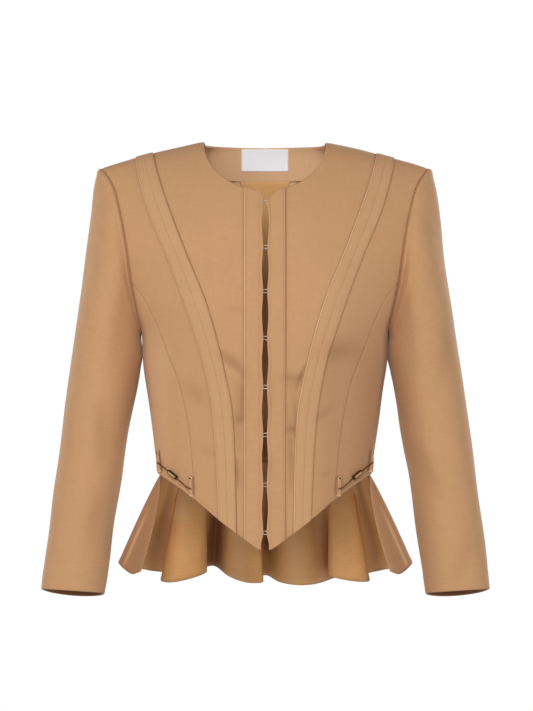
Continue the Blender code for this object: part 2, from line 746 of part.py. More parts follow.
def patch_on_back(half, top, foot, columns, rows, middle=0.0):
    """Points of a small rectangle on the inside of the back."""
    places = []
    for z in np.linspace(foot, top, rows):
        row = []
        for x in np.linspace(middle - half, middle + half, columns):
            point = surface(spot(abs(x), z, "back"), "back")
            row.append(point * (math.copysign(1, x), 1, 1))
        places.append(row)
    return np.array(places)


def build_inside(camel, golden, white):
    inside = (0, 0, -0.15)
    back = across(sheet(seamed(back_places()), "back"))
    facing = resting(across(sheet(facing_places(), "back")), back, CLOTH + 2 * SEAM)
    cloth("back_neck_facing", facing, LINING, camel, inside)
    lining = trimmed(across(sheet(lining_places(), "back")), ("left", "right", "top"), 0.002)
    lining = resting(lining, back, CLOTH + 2 * SEAM)
    cloth("back_lining", lining, LINING, golden, inside)
    label = patch_on_back(LABEL["half"], LABEL["top"], LABEL["foot"], 7, 5)
    cloth("label", resting(label, facing, LINING + 2 * SEAM), LABEL["thick"], white, inside)
    loop = patch_on_back(HANGER["half"], HANGER["top"], HANGER["foot"], 3, 4, HANGER["x"])
    pair("hanger_loop", resting(loop, lining, LINING + 4 * SEAM), HANGER["thick"], camel, inside)


def on_front(angle, z, out):
    """Point this far outside the front, at an angle in degrees and a height."""
    def at(a, height):
        return surface(spot_at(a, height))

    around = at(angle + 0.5, z) - at(angle - 0.5, z)
    up = at(angle, z + 0.002) - at(angle, z - 0.002)
    normal = np.cross(around, up)
    return at(angle, z) + normal / np.linalg.norm(normal) * out


def belt_loop(angle, top, foot):
    """Points of a belt loop that stands out between its two sewn ends."""
    rows = []
    for up in np.linspace(0, 1, 9):
        z = blend(foot, top, up)
        half = math.degrees(LOOP_HALF / 0.115)
        stand = SEAM + LOOP_THICK + 0.0006 + (LOOP_STAND - 0.0019) * math.sin(math.pi * up) ** 0.6
        rows.append([on_front(a, z, stand) for a in np.linspace(angle - half, angle + half, 3)])
    return np.array(rows)


def build_slide(side, brass):
    """Open-ended box round the side bar."""
    name = "left" if side > 0 else "right"
    length, height, depth, wall = SLIDE
    angle, z, stand = SLIDE_AT
    centre = on_front(angle, z, stand)
    lead = on_front(angle - 2, z - 0.0022, stand)
    along = Vector((lead - centre) * (side, 1, 1)).normalized()
    out = Vector((on_front(angle, z, stand + 0.01) - centre) * (side, 1, 1)).normalized()
    up = out.cross(along).normalized()
    out = along.cross(up)
    bm = bmesh.new()
    bmesh.ops.create_cube(bm, size=1)
    ends = [face for face in bm.faces if abs(face.normal.x) > 0.9]
    bmesh.ops.delete(bm, geom=ends, context="FACES_ONLY")
    bmesh.ops.scale(bm, verts=bm.verts, vec=(length, height, depth))
    turn = Matrix((along, up, out)).transposed().to_4x4()
    bmesh.ops.transform(bm, verts=bm.verts, matrix=Matrix.Translation(centre * (side, 1, 1)) @ turn)
    mesh = bpy.data.meshes.new(f"bar_slide_{name}")
    bm.to_mesh(mesh)
    bm.free()
    shell = add(f"bar_slide_{name}", mesh, brass).modifiers.new("wall", "SOLIDIFY")
    shell.thickness = wall
    shell.offset = -1


def build_side_bars(camel, brass):
    for place, (angle, top, foot) in LOOPS.items():
        pair(f"belt_loop_{place}", belt_loop(angle, top, foot), LOOP_THICK, camel)
    route = curve([(i, *row) for i, row in enumerate(BAR_ROWS)])
    steps = np.linspace(0, len(BAR_ROWS) - 1, 21)
    bar = np.array([on_front(*route(step)) for step in steps])
    tube("side_bar_left", bar, BAR_RADIUS, brass, 1)
    tube("side_bar_right", mirrored(bar), BAR_RADIUS, brass, 1)
    build_slide(1, brass)
    build_slide(-1, brass)


def build_hooks(silver):
    """Hooks on the right front's inside and eyes on the left front's."""
    for index, z in enumerate(HOOK_ROWS):
        face = max(surface(spot(x, z + EYE_HALF))[1] for x in (0.004, 0.013)) + CLOTH + 0.0011
        deep = face + 0.0016
        eye = [(0.0100, face, z + EYE_HALF), (0.0040, face, z + EYE_HALF),
               (-0.0026, deep, z + EYE_HALF), (-0.0038, deep, z + 0.0011),
               (-0.0038, deep, z - 0.0011), (-0.0026, deep, z - EYE_HALF),
               (0.0040, face, z - EYE_HALF), (0.0100, face, z - EYE_HALF)]
        tube(f"eye_{index + 1}", eye, WIRE, silver)
        hook = [(-0.0130, face, z), (-0.0035, face, z), (-0.0018, face + 0.0006, z),
                (-0.0013, deep, z), (-0.0018, deep + 0.0010, z), (-0.0035, deep + 0.0015, z),
                (-0.0065, deep + 0.0015, z)]
        tube(f"hook_{index + 1}", hook, WIRE, silver)


for leftover in list(bpy.data.objects):
    bpy.data.objects.remove(leftover)
JACKET = bpy.data.collections.new("gabardine_jacket")
bpy.context.scene.collection.children.link(JACKET)

gabardine = material("gabardine", CAMEL, 0.8)
satin = material("lining", GOLDEN, 0.6)
build_body(gabardine)
build_sleeves(gabardine)
build_peplum(gabardine, satin)
build_inside(gabardine, satin, material("label", WHITE, 0.7))
build_side_bars(gabardine, material("antique_brass", BRASS, 0.35, 1.0))
build_hooks(material("silver_wire", SILVER, 0.25, 1.0))
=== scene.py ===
"""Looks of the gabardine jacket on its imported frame: the cloth with its seams, stitching and creases,
the lining, the label, the hooks, side bars and slides, and the studio that it is seen in.

Metres. +X is the wearer's left, +Y runs from front to back and +Z is up. A place on the body is an
angle from the centre front or centre back and a level below the shoulder line, as in the solids.
"""

import math

import bmesh
import bpy
import numpy as np
from mathutils import Matrix, Vector


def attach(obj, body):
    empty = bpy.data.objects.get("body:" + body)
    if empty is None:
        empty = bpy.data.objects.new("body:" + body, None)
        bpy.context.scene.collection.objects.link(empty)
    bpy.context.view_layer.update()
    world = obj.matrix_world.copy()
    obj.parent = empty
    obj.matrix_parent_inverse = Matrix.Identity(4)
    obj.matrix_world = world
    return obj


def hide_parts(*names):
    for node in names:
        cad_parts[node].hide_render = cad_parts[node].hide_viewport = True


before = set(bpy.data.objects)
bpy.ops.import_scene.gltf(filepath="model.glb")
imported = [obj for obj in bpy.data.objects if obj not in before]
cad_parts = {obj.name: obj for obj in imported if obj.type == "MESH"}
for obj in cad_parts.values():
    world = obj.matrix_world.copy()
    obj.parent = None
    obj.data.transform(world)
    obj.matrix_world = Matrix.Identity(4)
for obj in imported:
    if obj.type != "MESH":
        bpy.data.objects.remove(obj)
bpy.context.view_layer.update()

CLOTH = 0.0014  # wall of the gabardine in the solids
SHELL = CLOTH - 0.0002  # wall of its shell here
TRIM = 0.0006  # wall of the bands and strips
LINING = 0.0008  # wall of the lining and the neck facing
SEAM = 0.0003  # gap between sewn pieces
MERGE = 1e-6  # distance within which doubles are merged
SIDES = {"left": 1, "right": -1}
FORWARD = np.array([0, -1, 0])

# The body, as in the solids.
NECK_HALF = 0.0790
SHOULDER_HALF = 0.2119
SHOULDER_SLOPE = 0.2543
NECK_TOP = 0.0013  # height of the shoulder line at the neck
SHOULDER_BOW = 0.0018  # how far the shoulder seam bows up halfway
NECK_DEPTH = 0.0665
NECK_BACK_LEVEL = 0.401
NECK_ANGLE = 38  # where the back's columns from the neck's end reach the hem
NECK_UPRIGHT = 0.18  # power of the back's rounding at the neck, which grows to 1 across the span
NECK_UPRIGHT_SPAN = (0.055, 0.170)
TURN = {"front": 0.130, "back": 0.060}  # height of the rounding over the shoulders
SECTION_POWER = 0.92  # below 1, a section is fuller than an ellipse
PLACE_STEP = 0.006  # step in angle and level for slopes of the body
BUST = {"x": 0.084, "z": -0.212, "out": 0.011, "wide": 0.052, "high": 0.075}

# Height, half width, depth of the front, depth of the back.
BODY_ROWS = (
    (0.020, 0.2400, 0.070, 0.080),
    (-0.034, 0.2320, 0.077, 0.086),
    (-0.070, 0.2225, 0.085, 0.093),
    (-0.110, 0.2080, 0.095, 0.099),
    (-0.150, 0.1945, 0.102, 0.103),
    (-0.182, 0.1838, 0.106, 0.103),
    (-0.215, 0.1722, 0.108, 0.101),
    (-0.250, 0.1600, 0.107, 0.097),
    (-0.282, 0.1576, 0.104, 0.091),
    (-0.320, 0.1530, 0.099, 0.084),
    (-0.360, 0.1480, 0.094, 0.077),
    (-0.400, 0.1427, 0.091, 0.072),
    (-0.430, 0.1390, 0.090, 0.070),
    (-0.530, 0.1340, 0.094, 0.072),
)
# Armhole: share of its length, angle, height.
ARMHOLE_ROWS = (
    (0.00, 90.0, -0.2500),
    (0.12, 81.5, -0.2425),
    (0.25, 74.5, -0.2180),
    (0.40, 69.2, -0.1820),
    (0.55, 64.5, -0.1500),
    (0.72, 60.8, -0.1080),
    (0.86, 59.3, -0.0690),
    (0.94, 61.3, -0.0490),
    (1.00, 66.1, -0.0325),
)
PRINCESS_SHARE = 0.40  # where the princess seam meets the armhole
ARMHOLE_RADIUS = 0.16  # of the body at the armhole, which turns widths into angles
# Princess seam: height, distance from the middle.
PRINCESS_ROWS = (
    (-0.4598, 0.0888),
    (-0.4265, 0.0914),
    (-0.3720, 0.0970),
    (-0.3150, 0.1085),
    (-0.2705, 0.1255),
    (-0.2270, 0.1430),
    (-0.2000, 0.1575),
    (-0.1820, 0.1718),
)
# Shoulder-to-hem strip: height, inner edge, outer edge.
STRIP_ROWS = (
    (-0.0140, 0.1452, 0.1690),
    (-0.0436, 0.1373, 0.1633),
    (-0.0944, 0.1198, 0.1477),
    (-0.1535, 0.0966, 0.1228),
    (-0.2039, 0.0759, 0.1039),
    (-0.2471, 0.0626, 0.0890),
    (-0.2945, 0.0512, 0.0755),
    (-0.3513, 0.0408, 0.0662),
    (-0.4018, 0.0380, 0.0622),
    (-0.5200, 0.0357, 0.0570),
)
# Hem of the fronts: distance from the middle, height.
HEM_ROWS = (
    (0.0000, -0.5262),
    (0.0126, -0.5185),
    (0.0316, -0.5043),
    (0.0633, -0.4806),
    (0.0888, -0.4598),
    (0.1318, -0.4320),
    (0.1400, -0.4285),
)
BACK_HEM = -0.4150
SIDE_HEM = -0.4285
HEM_CORNER = {"rise": 0.0018, "wide": 0.005}  # the hem's corner at the hooked edge, rounded off
HEM_TURNING = 0.0058  # depth of the fronts' hem
NECK_CORNER = {"left": 0.0115, "right": 0.0020}  # how far the neckline's corner is rounded off
NECK_CORNER_WIDE = 0.020

BAND_EDGE = 0.0261  # the band's outer edge, from the middle
BAND_STITCHES = {"right": 0.0030, "left": 0.0048}  # rows of stitches, from its outer and its hooked edge
STRIP_STITCH = 0.0022  # rows of stitches, from both edges of a strip
# Heights of the hooks, from the neck down.
HOOK_ROWS = (-0.0821, -0.1396, -0.1952, -0.2542, -0.3159, -0.3766, -0.4398, -0.5003)
# Half the gap between the hooked edges, and the heights over which it opens at the neck and the hem.
GAP_AT_HOOK = 0.0021
GAP_BETWEEN = 0.0037
GAP_AT_HEM = 0.0050
GAP_OPENS = {"neck": 0.0145, "hem": 0.0157}
FRONT_FOOT = -0.5215  # height of the hooked edge's lower end
HOOK_PULL = 0.0007  # how far the hooks pull the edge in, and how far from the edge that is felt
HOOK_REACH = 0.012

# Sleeve: settle, outer x, z, inner x, z, middle y, depth in front, behind, rise in front, dip behind.
SLEEVE_ROWS = (
    (0.00, 0.2119, -0.0325, 0.1600, -0.2500, 0.000, 0.046, 0.048, 0.000, 0.000),
    (0.05, 0.2142, -0.0342, 0.1614, -0.2518, 0.000, 0.048, 0.050, 0.000, 0.000),
    (0.14, 0.2174, -0.0400, 0.1614, -0.2540, 0.001, 0.050, 0.053, 0.000, 0.000),
    (0.30, 0.2222, -0.0590, 0.1612, -0.2565, 0.001, 0.053, 0.056, 0.000, 0.000),
    (0.50, 0.2274, -0.0980, 0.1608, -0.2600, 0.002, 0.055, 0.058, 0.000, 0.000),
    (0.75, 0.2343, -0.1580, 0.1598, -0.2660, 0.002, 0.056, 0.059, 0.000, 0.000),
    (1.00, 0.2434, -0.2220, 0.1594, -0.2760, 0.002, 0.056, 0.059, 0.000, 0.000),
    (1.00, 0.2515, -0.2800, 0.1624, -0.2950, 0.002, 0.055, 0.058, 0.000, 0.000),
    (1.00, 0.2604, -0.3450, 0.1736, -0.3560, 0.002, 0.052, 0.056, 0.000, 0.000),
    (1.00, 0.2692, -0.4150, 0.1852, -0.4250, 0.001, 0.048, 0.053, 0.002, 0.003),
    (1.00, 0.2778, -0.4830, 0.1952, -0.4925, -0.005, 0.043, 0.050, 0.004, 0.007),
    (1.00, 0.2845, -0.5360, 0.2018, -0.5435, -0.012, 0.038, 0.047, 0.004, 0.009),
    (1.00, 0.2886, -0.5776, 0.2077, -0.5831, -0.019, 0.034, 0.046, 0.0035, 0.011),
)
SLEEVE_EASE = {"left": 0.0026, "right": 0.0}  # how much further out the outer edge hangs
SLEEVE_INNER_SHADE = {"left": 0.22, "right": 0.05}  # painted shade on the side toward the body, where the body shadows it
SLEEVE_RIM_HIGHLIGHT = {"left": 0.0, "right": 0.16}  # painted highlight on the outer edge, lit from the side
SLEEVE_GAP = 0.0004  # gap along the armhole seam
ARMHOLE_FINE = 5  # columns for each one that the solids have round the armhole
# The seam's turning, inside the body: how far in from the armhole and below the outside.
ARMHOLE_TURNING = ((0.0045, 0.0019), (0.0010, 0.0015))
CUFF_HEM = 0.0250  # depth of the cuff's hem
# The cuff's turning, inside the sleeve: how far in and up from the edge, and how dark its painted shade is,
# for the shadow inside the sleeve.
CUFF_TURNING = (
    (0.0012, -0.0002, 0.20),
    (0.0026, 0.0008, 0.75),
    (0.0029, 0.0080, 0.85),
    (0.0030, 0.0220, 0.85),
)
# Hem of the peplum from the wearer's right side round the back: x, y, z.
PEPLUM_ROWS = (
    (-0.1612, -0.015, -0.5555),
    (-0.1742, 0.001, -0.5602),
    (-0.1927, 0.034, -0.5480),
    (-0.1735, 0.095, -0.5600),
    (-0.1545, 0.120, -0.5660),
    (-0.1285, 0.112, -0.5695),
    (-0.1378, 0.086, -0.5770),
    (-0.1240, 0.070, -0.5777),
    (-0.0990, 0.076, -0.5730),
    (-0.0800, 0.096, -0.5670),
    (-0.0850, 0.124, -0.5640),
    (-0.0690, 0.148, -0.5620),
    (-0.0470, 0.112, -0.5738),
    (-0.0225, 0.082, -0.5792),
    (-0.0045, 0.076, -0.5784),
    (-0.0085, 0.102, -0.5740),
    (0.0030, 0.124, -0.5730),
    (0.0205, 0.096, -0.5797),
    (0.0440, 0.075, -0.5818),
    (0.0620, 0.075, -0.5810),
    (0.0770, 0.096, -0.5795),
    (0.0935, 0.124, -0.5760),
    (0.0965, 0.106, -0.5725),
    (0.0855, 0.084, -0.5690),
    (0.0930, 0.071, -0.5716),
    (0.1130, 0.069, -0.5754),
    (0.1300, 0.074, -0.5774),
    (0.1382, 0.086, -0.5772),
    (0.1330, 0.108, -0.5708),
    (0.1545, 0.120, -0.5660),
    (0.1745, 0.095, -0.5600),
    (0.1938, 0.034, -0.5480),
    (0.1762, 0.001, -0.5602),
    (0.1625, -0.015, -0.5555),
)
# How the peplum widens: share of its length from the nearer end, power of the share of the way down.
GROWTH_ROWS = ((0.00, 1.70), (0.025, 1.25), (0.055, 0.88), (0.12, 0.95), (0.50, 1.00))
PEPLUM_SINK = 0.0003  # its top edge below the back's hem
PEPLUM_TUCK = 0.0026  # how far its top edge is drawn in at the sides
PEPLUM_LINING = LINING - 0.0003  # wall of its lining
PEPLUM_TURNING = {"up": 0.0035, "in": 0.0013}  # its top edge inside the back: how far up and in
PEPLUM_HEM = 0.0070  # depth of its hem
# The flares at its ends: columns of each, painted highlight of the streak of light on it and painted shade
# of the rest.
FLARE_COLUMNS = 40
FLARE_SHADES = {"right": (-0.45, 0.22), "left": (-0.80, 0.0)}
# Painted highlights on the peplum's lining where its lobes catch the light: x, the height they start at,
# half width, how pale.
LINING_HIGHLIGHTS = (
    (-0.118, -0.505, 0.012, 0.28),
    (-0.036, -0.620, 0.013, 0.30),
    (0.040, -0.620, 0.013, 0.18),
    (0.073, -0.620, 0.009, 0.34),
)

# Rows and columns of the solids, which the finer ones here follow.
NECK_COLUMN = 0.62  # share of the chest's columns that end on the neckline
NECK_REACH = 4  # power by which the neckline's curve fades out down the chest
SIDE_SPLIT = (0.0, 0.28, 0.54, 0.77, 0.93, 1.0)
FRONT_ARM_SHARES = (0.40, 0.50, 0.60, 0.70, 0.80, 0.89, 0.96, 1.0)
BACK_ARM_SHARES = (0.0, 0.07, 0.15, 0.24, 0.33, 0.42, 0.52, 0.62, 0.72, 0.82, 0.90, 0.96, 1.0)
FRONT_LOW, FRONT_ROWS = 9, 16  # rows below the armhole, and all rows
BACK_LOW, BACK_ROWS = 8, 20
# Rows and columns here.
FRONT_LINES = 161
SIDE_FRONT_LINES, SIDE_FRONT_COLUMNS = 91, 34
BAND_LINES, STRIP_LINES = 561, 601
TRIM_COLUMNS = 23
BACK_LINES = 133
LINING_LINES = 101
PEPLUM_LINES, PEPLUM_COLUMNS = 41, 361

FACING_FOOT = -0.0441
FACING_HALF = 0.1190
FACING_POWER = 0.4  # below 1, the facing's lower edge is squarer than an ellipse
LINING_TOP = -0.0432
LINING_LIFT = 0.0005  # its hem above the back's hem
LINING_SHARE = 0.93  # how far up the armhole it reaches
INSIDE = CLOTH + 2 * SEAM + LINING  # depth of the lining's own inside below the back's outside
LABEL = {"half": 0.0312, "top": -0.0005, "foot": -0.0303, "thick": 0.0006}
LABEL_STITCH = 0.0012  # row of stitches, from the label's edges
HANGER = {"x": 0.0385, "half": 0.0050, "top": -0.0440, "foot": -0.0680, "thick": 0.0009, "slant": 0.35}
# Belt loops: angle, height of the top and of the foot.
LOOPS = {"front": (42.6, -0.4300, -0.4555), "side": (72.5, -0.3990, -0.4260)}
LOOP_HALF = 0.0035
LOOP_THICK = 0.0009
LOOP_STAND = 0.0028  # how far a loop arches out
LOOP_RADIUS = 0.115  # of the body behind the loops, which turns widths into angles
LOOP_STITCH = 0.0010  # rows of stitches, from both edges
SIDE_TWIST = 0.0040  # how far the rear edge of a side loop stands out at its foot
# Eyelets near the tops of the loops, each a ring and a dark centre that is painted shade in its hole: angle
# beside the loop's, depth below its top, radius, wire.
EYELETS = {
    "loop_eyelets": (0.0, 0.0026, 0.0018, 0.0006),
    "loop_eyelet_hole_shade": (0.1, 0.0025, 0.0008, 0.0008),
}
EYELET_POINTS = 15
BAR_RADIUS = 0.0008
BAR_POINTS = 49
BAR_TIP = 0.55  # share of the radius at the bar's ends
BAR_LIFT = {"out": 0.0016, "from": 68.5, "over": 4.5}  # further out over the side loop, from this angle
# Side bar from the side loop to the front one: angle, height, how far it stands out.
BAR_ROWS = (
    (72.9, -0.4122, 0.0040),
    (70.5, -0.4148, 0.0040),
    (64.4, -0.4192, 0.0031),
    (56.6, -0.4284, 0.0030),
    (50.0, -0.4363, 0.0034),
    (44.8, -0.4440, 0.0040),
    (41.4, -0.4460, 0.0040),
)
SLIDE_AT = BAR_ROWS[3]
SLIDE_SLOPE = (-2, -0.0022)  # angle and height by which the bar goes on from the slide
# Slide: length, height, depth, wall; then its rounded corners, and the plate's share of its face.
SLIDE = (0.0160, 0.0052, 0.0040, 0.0006)
SLIDE_CORNER = 0.0012
SLIDE_EDGE = 0.0002
PLATE_SHARE = (0.80, 0.44)
PLATE_THICK = 0.0010
WIRE = 0.00045  # radius of the hooks' and eyes' wire
HOOK_BEHIND = 0.0011  # from the front's inside to the middle of the wire
HOOK_SPAN = (0.004, 0.013)  # stretch of the front that the wire lies behind
EYE_HALF = 0.0021
# Upper half of an eye, which its lower half mirrors: x, depth, height above its middle.
EYE_ROUTE = (
    (0.0100, 0.0, EYE_HALF),
    (0.0040, 0.0, EYE_HALF),
    (-0.0026, 0.0016, EYE_HALF),
    (-0.0038, 0.0016, 0.0011),
)
# Hook: x, depth.
HOOK_ROUTE = (
    (-0.0130, 0.0),
    (-0.0035, 0.0),
    (-0.0018, 0.0006),
    (-0.0013, 0.0016),
    (-0.0018, 0.0026),
    (-0.0035, 0.0031),
    (-0.0065, 0.0031),
)

# Stitching: pitch, length of a stitch, how far it stands out.
STITCH_ROWS = {
    "wool": (0.0034, 0.0023, 0.0003),
    "loop": (0.0024, 0.0016, 0.0002),
    "label": (0.0022, 0.0015, 0.0002),
}
STITCH_SUNK = 0.0003  # how far a stitch's ends go in
THREAD = {"wool": 0.00022, "label": 0.00015}  # radius

# Painted light on the cloth: painted shade where the shade is above 0, painted highlight where it is below.
PAINTED_SHADE_COLOUR = (0.14, 0.038, 0.011, 1)
PAINTED_HIGHLIGHT_COLOUR = (0.86, 0.60, 0.38, 1)
CREASE_SHADE = 125  # painted shade for each metre of a trough's depth, and the most that it comes to
CREASE_SHADE_MOST = 0.40

# Lamps: place, size, power in watts.
LAMPS = {
    "key": ((-0.2, -3.0, 1.3), 1.2, 44),
    "front": ((0.0, -3.2, 0.1), 1.2, 16),
    "left_front": ((-1.4, -2.7, 0.5), 1.2, 14),
    "side_left": ((-2.3, -1.0, 0.1), 1.0, 12),
    "side_right": ((2.3, -1.0, 0.0), 1.0, 13),
    "back_left": ((-1.9, 2.4, 0.7), 1.4, 26),
    "back_right": ((1.9, 2.4, 0.9), 1.2, 54),
}
LAMP_AIM = (0, 0, -0.28)
FLOOR = {"half": 2.6, "z": -1.45}
CAMERA = {"x": 0.00195, "away": 3.2, "z": -0.27625}
PICTURE_HIGH = 0.9243  # height of the picture at the jacket's middle
SENSOR = 36  # millimetres

# Creases, each a soft trough (depth below 0) or ridge between two points of the front view:
# panel, side, x and z of one end, x and z of the other, half width, depth.
CREASE_ROWS = (
    ("front", -1, 0.0540, -0.2775, 0.0268, -0.2976, 0.0074, -0.0025),
    ("front", -1, 0.0500, -0.2900, 0.0330, -0.3080, 0.0060, 0.0012),
    ("front", -1, 0.0278, -0.2976, 0.0290, -0.3600, 0.0024, -0.0014),
    ("front", -1, 0.0391, -0.3600, 0.0275, -0.3560, 0.0050, -0.0013),
    ("front", -1, 0.0305, -0.4060, 0.0288, -0.4500, 0.0050, -0.0011),
    ("front", -1, 0.0493, -0.2175, 0.0240, -0.2185, 0.0040, -0.0006),
    ("front", -1, 0.0362, -0.4080, 0.0352, -0.4420, 0.0024, -0.0019),
    ("front", -1, 0.0780, -0.3350, 0.0980, -0.3150, 0.0110, -0.0012),
    ("front", -1, 0.0640, -0.4010, 0.0820, -0.3960, 0.0050, -0.0006),
    ("front", -1, 0.0335, -0.3100, 0.0318, -0.3950, 0.0080, -0.0015),
    ("front", 1, 0.0350, -0.3180, 0.0335, -0.4000, 0.0085, -0.0014),
    ("front", 1, 0.0391, -0.3330, 0.0385, -0.3800, 0.0022, -0.0010),
    ("front", 1, 0.0240, -0.3050, 0.0480, -0.3066, 0.0064, -0.0020),
    ("front", 1, 0.0510, -0.2900, 0.0410, -0.3170, 0.0030, -0.0022),
    ("front", 1, 0.0290, -0.3190, 0.0340, -0.3560, 0.0042, 0.0008),
    ("front", 1, 0.0290, -0.3703, 0.0385, -0.3703, 0.0036, -0.0018),
    ("front", 1, 0.0355, -0.4030, 0.0330, -0.4480, 0.0036, -0.0014),
    ("front", 1, 0.0095, -0.3050, 0.0082, -0.3450, 0.0040, -0.0012),
    ("front", 1, 0.0105, -0.4020, 0.0088, -0.4300, 0.0042, -0.0009),
    ("front", 1, 0.0330, -0.3800, 0.0318, -0.4210, 0.0024, -0.0010),
    ("front", 1, 0.0618, -0.3600, 0.0850, -0.3430, 0.0042, -0.0012),
    ("front", 1, 0.0719, -0.4283, 0.0845, -0.4258, 0.0030, -0.0010),
    ("front", 1, 0.0670, -0.2749, 0.1100, -0.2680, 0.0130, -0.0018),
    ("sleeve_front", -1, 0.2113, -0.3404, 0.2087, -0.4052, 0.0090, -0.0012),
    ("sleeve_front", -1, 0.1828, -0.2053, 0.1955, -0.2820, 0.0100, -0.0009),
    ("sleeve_front", -1, 0.2109, -0.4609, 0.2262, -0.5120, 0.0100, -0.0010),
    ("sleeve_front", -1, 0.2420, -0.3865, 0.2367, -0.4476, 0.0110, 0.0010),
    ("sleeve_front", 1, 0.1955, -0.3932, 0.2211, -0.4520, 0.0100, -0.0012),
    ("sleeve_front", 1, 0.2390, -0.2436, 0.2236, -0.3076, 0.0120, -0.0010),
    ("sleeve_front", 1, 0.1789, -0.2053, 0.1904, -0.2884, 0.0100, -0.0010),
    ("sleeve_front", 1, 0.2620, -0.5120, 0.2428, -0.5631, 0.0100, -0.0008),
    ("sleeve_back", -1, 0.1850, -0.3300, 0.2300, -0.3620, 0.0110, -0.0022),
    ("sleeve_back", -1, 0.1980, -0.4100, 0.2420, -0.3850, 0.0120, -0.0023),
    ("sleeve_back", -1, 0.1900, -0.2150, 0.2050, -0.2900, 0.0110, -0.0019),
    ("sleeve_back", 1, 0.1880, -0.3420, 0.2330, -0.3700, 0.0120, -0.0021),
    ("sleeve_back", 1, 0.1960, -0.4250, 0.2380, -0.3980, 0.0110, -0.0022),
    ("sleeve_back", 1, 0.1880, -0.2100, 0.2060, -0.2860, 0.0100, -0.0019),
    ("back", -1, 0.0300, -0.3650, 0.1000, -0.3480, 0.0090, -0.0011),
    ("back", -1, 0.0380, -0.3500, 0.1040, -0.3330, 0.0080, 0.0023),
    ("back", -1, 0.0900, -0.3950, 0.1280, -0.3700, 0.0080, -0.0010),
    ("back", -1, 0.0860, -0.3820, 0.1260, -0.3560, 0.0070, 0.0018),
    ("back", -1, 0.1250, -0.1500, 0.1380, -0.2400, 0.0120, -0.0010),
    ("back", -1, 0.1090, -0.1500, 0.1190, -0.2500, 0.0110, 0.0025),
    ("back", -1, 0.0550, -0.3020, 0.1180, -0.2750, 0.0140, 0.0018),
    ("back", 1, 0.0620, -0.2850, 0.1240, -0.3120, 0.0130, 0.0020),
    ("back", 1, 0.0330, -0.4000, 0.0270, -0.3420, 0.0060, 0.0016),
    ("back", 1, 0.0200, -0.3560, 0.0880, -0.3720, 0.0100, -0.0011),
    ("back", 1, 0.0240, -0.3410, 0.0900, -0.3560, 0.0085, 0.0026),
    ("back", 1, 0.0750, -0.3880, 0.1220, -0.3980, 0.0080, -0.0010),
    ("back", 1, 0.1220, -0.1450, 0.1400, -0.2300, 0.0130, -0.0010),
    ("back", 1, 0.1060, -0.1500, 0.1210, -0.2420, 0.0110, 0.0023),
)


def curve(rows, rounded=False):
    """A table's other columns at any values of its first, smooth; rounded lets it swing past a row."""
    table = np.array(sorted(rows), float)
    place, values = table[:, 0], table[:, 1:]
    slope = np.diff(values, axis=0) / np.diff(place)[:, None]
    if rounded:
        middle = (values[2:] - values[:-2]) / (place[2:] - place[:-2])[:, None]
    else:
        same = slope[:-1] * slope[1:] > 0
        both = np.where(same, slope[:-1] + slope[1:], 1)
        middle = np.where(same, 2 * slope[:-1] * slope[1:] / both, 0)
    tangent = np.vstack([slope[:1], middle, slope[-1:]])

    def at(where):
        where = np.clip(np.asarray(where, float), place[0], place[-1])
        k = np.clip(np.searchsorted(place, where) - 1, 0, len(place) - 2)
        step = (place[k + 1] - place[k])[..., None]
        t = (where - place[k])[..., None] / step
        rise = t * t * (3 - 2 * t)
        ends = (1 - rise) * values[k] + rise * values[k + 1]
        return ends + step * (t * (1 - t) ** 2 * tangent[k] + t * t * (t - 1) * tangent[k + 1])

    return at


BODY = curve(BODY_ROWS)
ARMHOLE = curve(ARMHOLE_ROWS, rounded=True)
PRINCESS = curve(PRINCESS_ROWS)
STRIP = curve(STRIP_ROWS)
HEM = curve(HEM_ROWS)
GROWTH = curve(GROWTH_ROWS)


def blend(first, second, share):
    return first + (second - first) * share


def ease(share):
    share = np.clip(share, 0, 1)
    return share * share * (3 - 2 * share)


def bell(far, wide):
    """1 where far is 0, falling off smoothly on both sides."""
    return np.exp(-((far / wide) ** 2))


def unit(vectors):
    return vectors / np.maximum(np.linalg.norm(vectors, axis=-1, keepdims=True), 1e-12)


def square_to(points):
    """Vectors square to a grid of points."""
    return np.cross(np.gradient(points, axis=1), np.gradient(points, axis=0))


def moved(points, normal, out):
    return points + normal * out[..., None]


def gathered(count):
    """Shares from 0 to 1, closer together at both ends."""
    even = np.linspace(0, 1, count)
    return 0.45 * even + 0.55 * (1 - np.cos(np.pi * even)) / 2


def edged(count):
    """Shares from 0 to 1 that are very close together at both ends."""
    even = np.linspace(-1, 1, count)
    return 0.5 + 0.5 * np.sign(even) * (1 - (1 - np.abs(even)) ** 2.2)


def shoulder(x):
    """Height of the shoulder line, carried on across the neck."""
    along = np.clip((x - NECK_HALF) / (SHOULDER_HALF - NECK_HALF), 0, 1)
    out = NECK_TOP + 4 * SHOULDER_BOW * along * (1 - along) - SHOULDER_SLOPE * (x - NECK_HALF)
    within = NECK_TOP + SHOULDER_SLOPE * (NECK_HALF**2 - x**2) / (2 * NECK_HALF)
    return np.where(x < NECK_HALF, within, out)


def drop_of(level, facing):
    """How far below the shoulder line a level is."""
    over = 1 - np.cos(np.minimum(level, 1) * math.pi / 2)
    return TURN[facing] * np.where(level < 1, over, 1 + (level - 1) * math.pi / 2)


def level_of(drop, facing):
    """Level at which the body is this far below the shoulder line."""
    share = np.maximum(drop, 0) / TURN[facing]
    over = np.arccos(1 - np.minimum(share, 1)) * 2 / math.pi
    return np.where(share < 1, over, 1 + (share - 1) * 2 / math.pi)


def spot(x, z, facing="front"):
    """Angle and level of the places at these distances from the middle and heights."""
    x, z = np.broadcast_arrays(np.asarray(x, float), np.asarray(z, float))
    angle = np.arcsin(np.minimum(x / BODY(z)[..., 0], 1))
    return np.stack([angle, level_of(shoulder(x) - z, facing)], axis=-1)


def spot_at(angle, z, facing="front"):
    """Angle and level of the places at these angles, in degrees, and heights."""
    return spot(BODY(z)[..., 0] * np.sin(np.radians(angle)), z, facing)


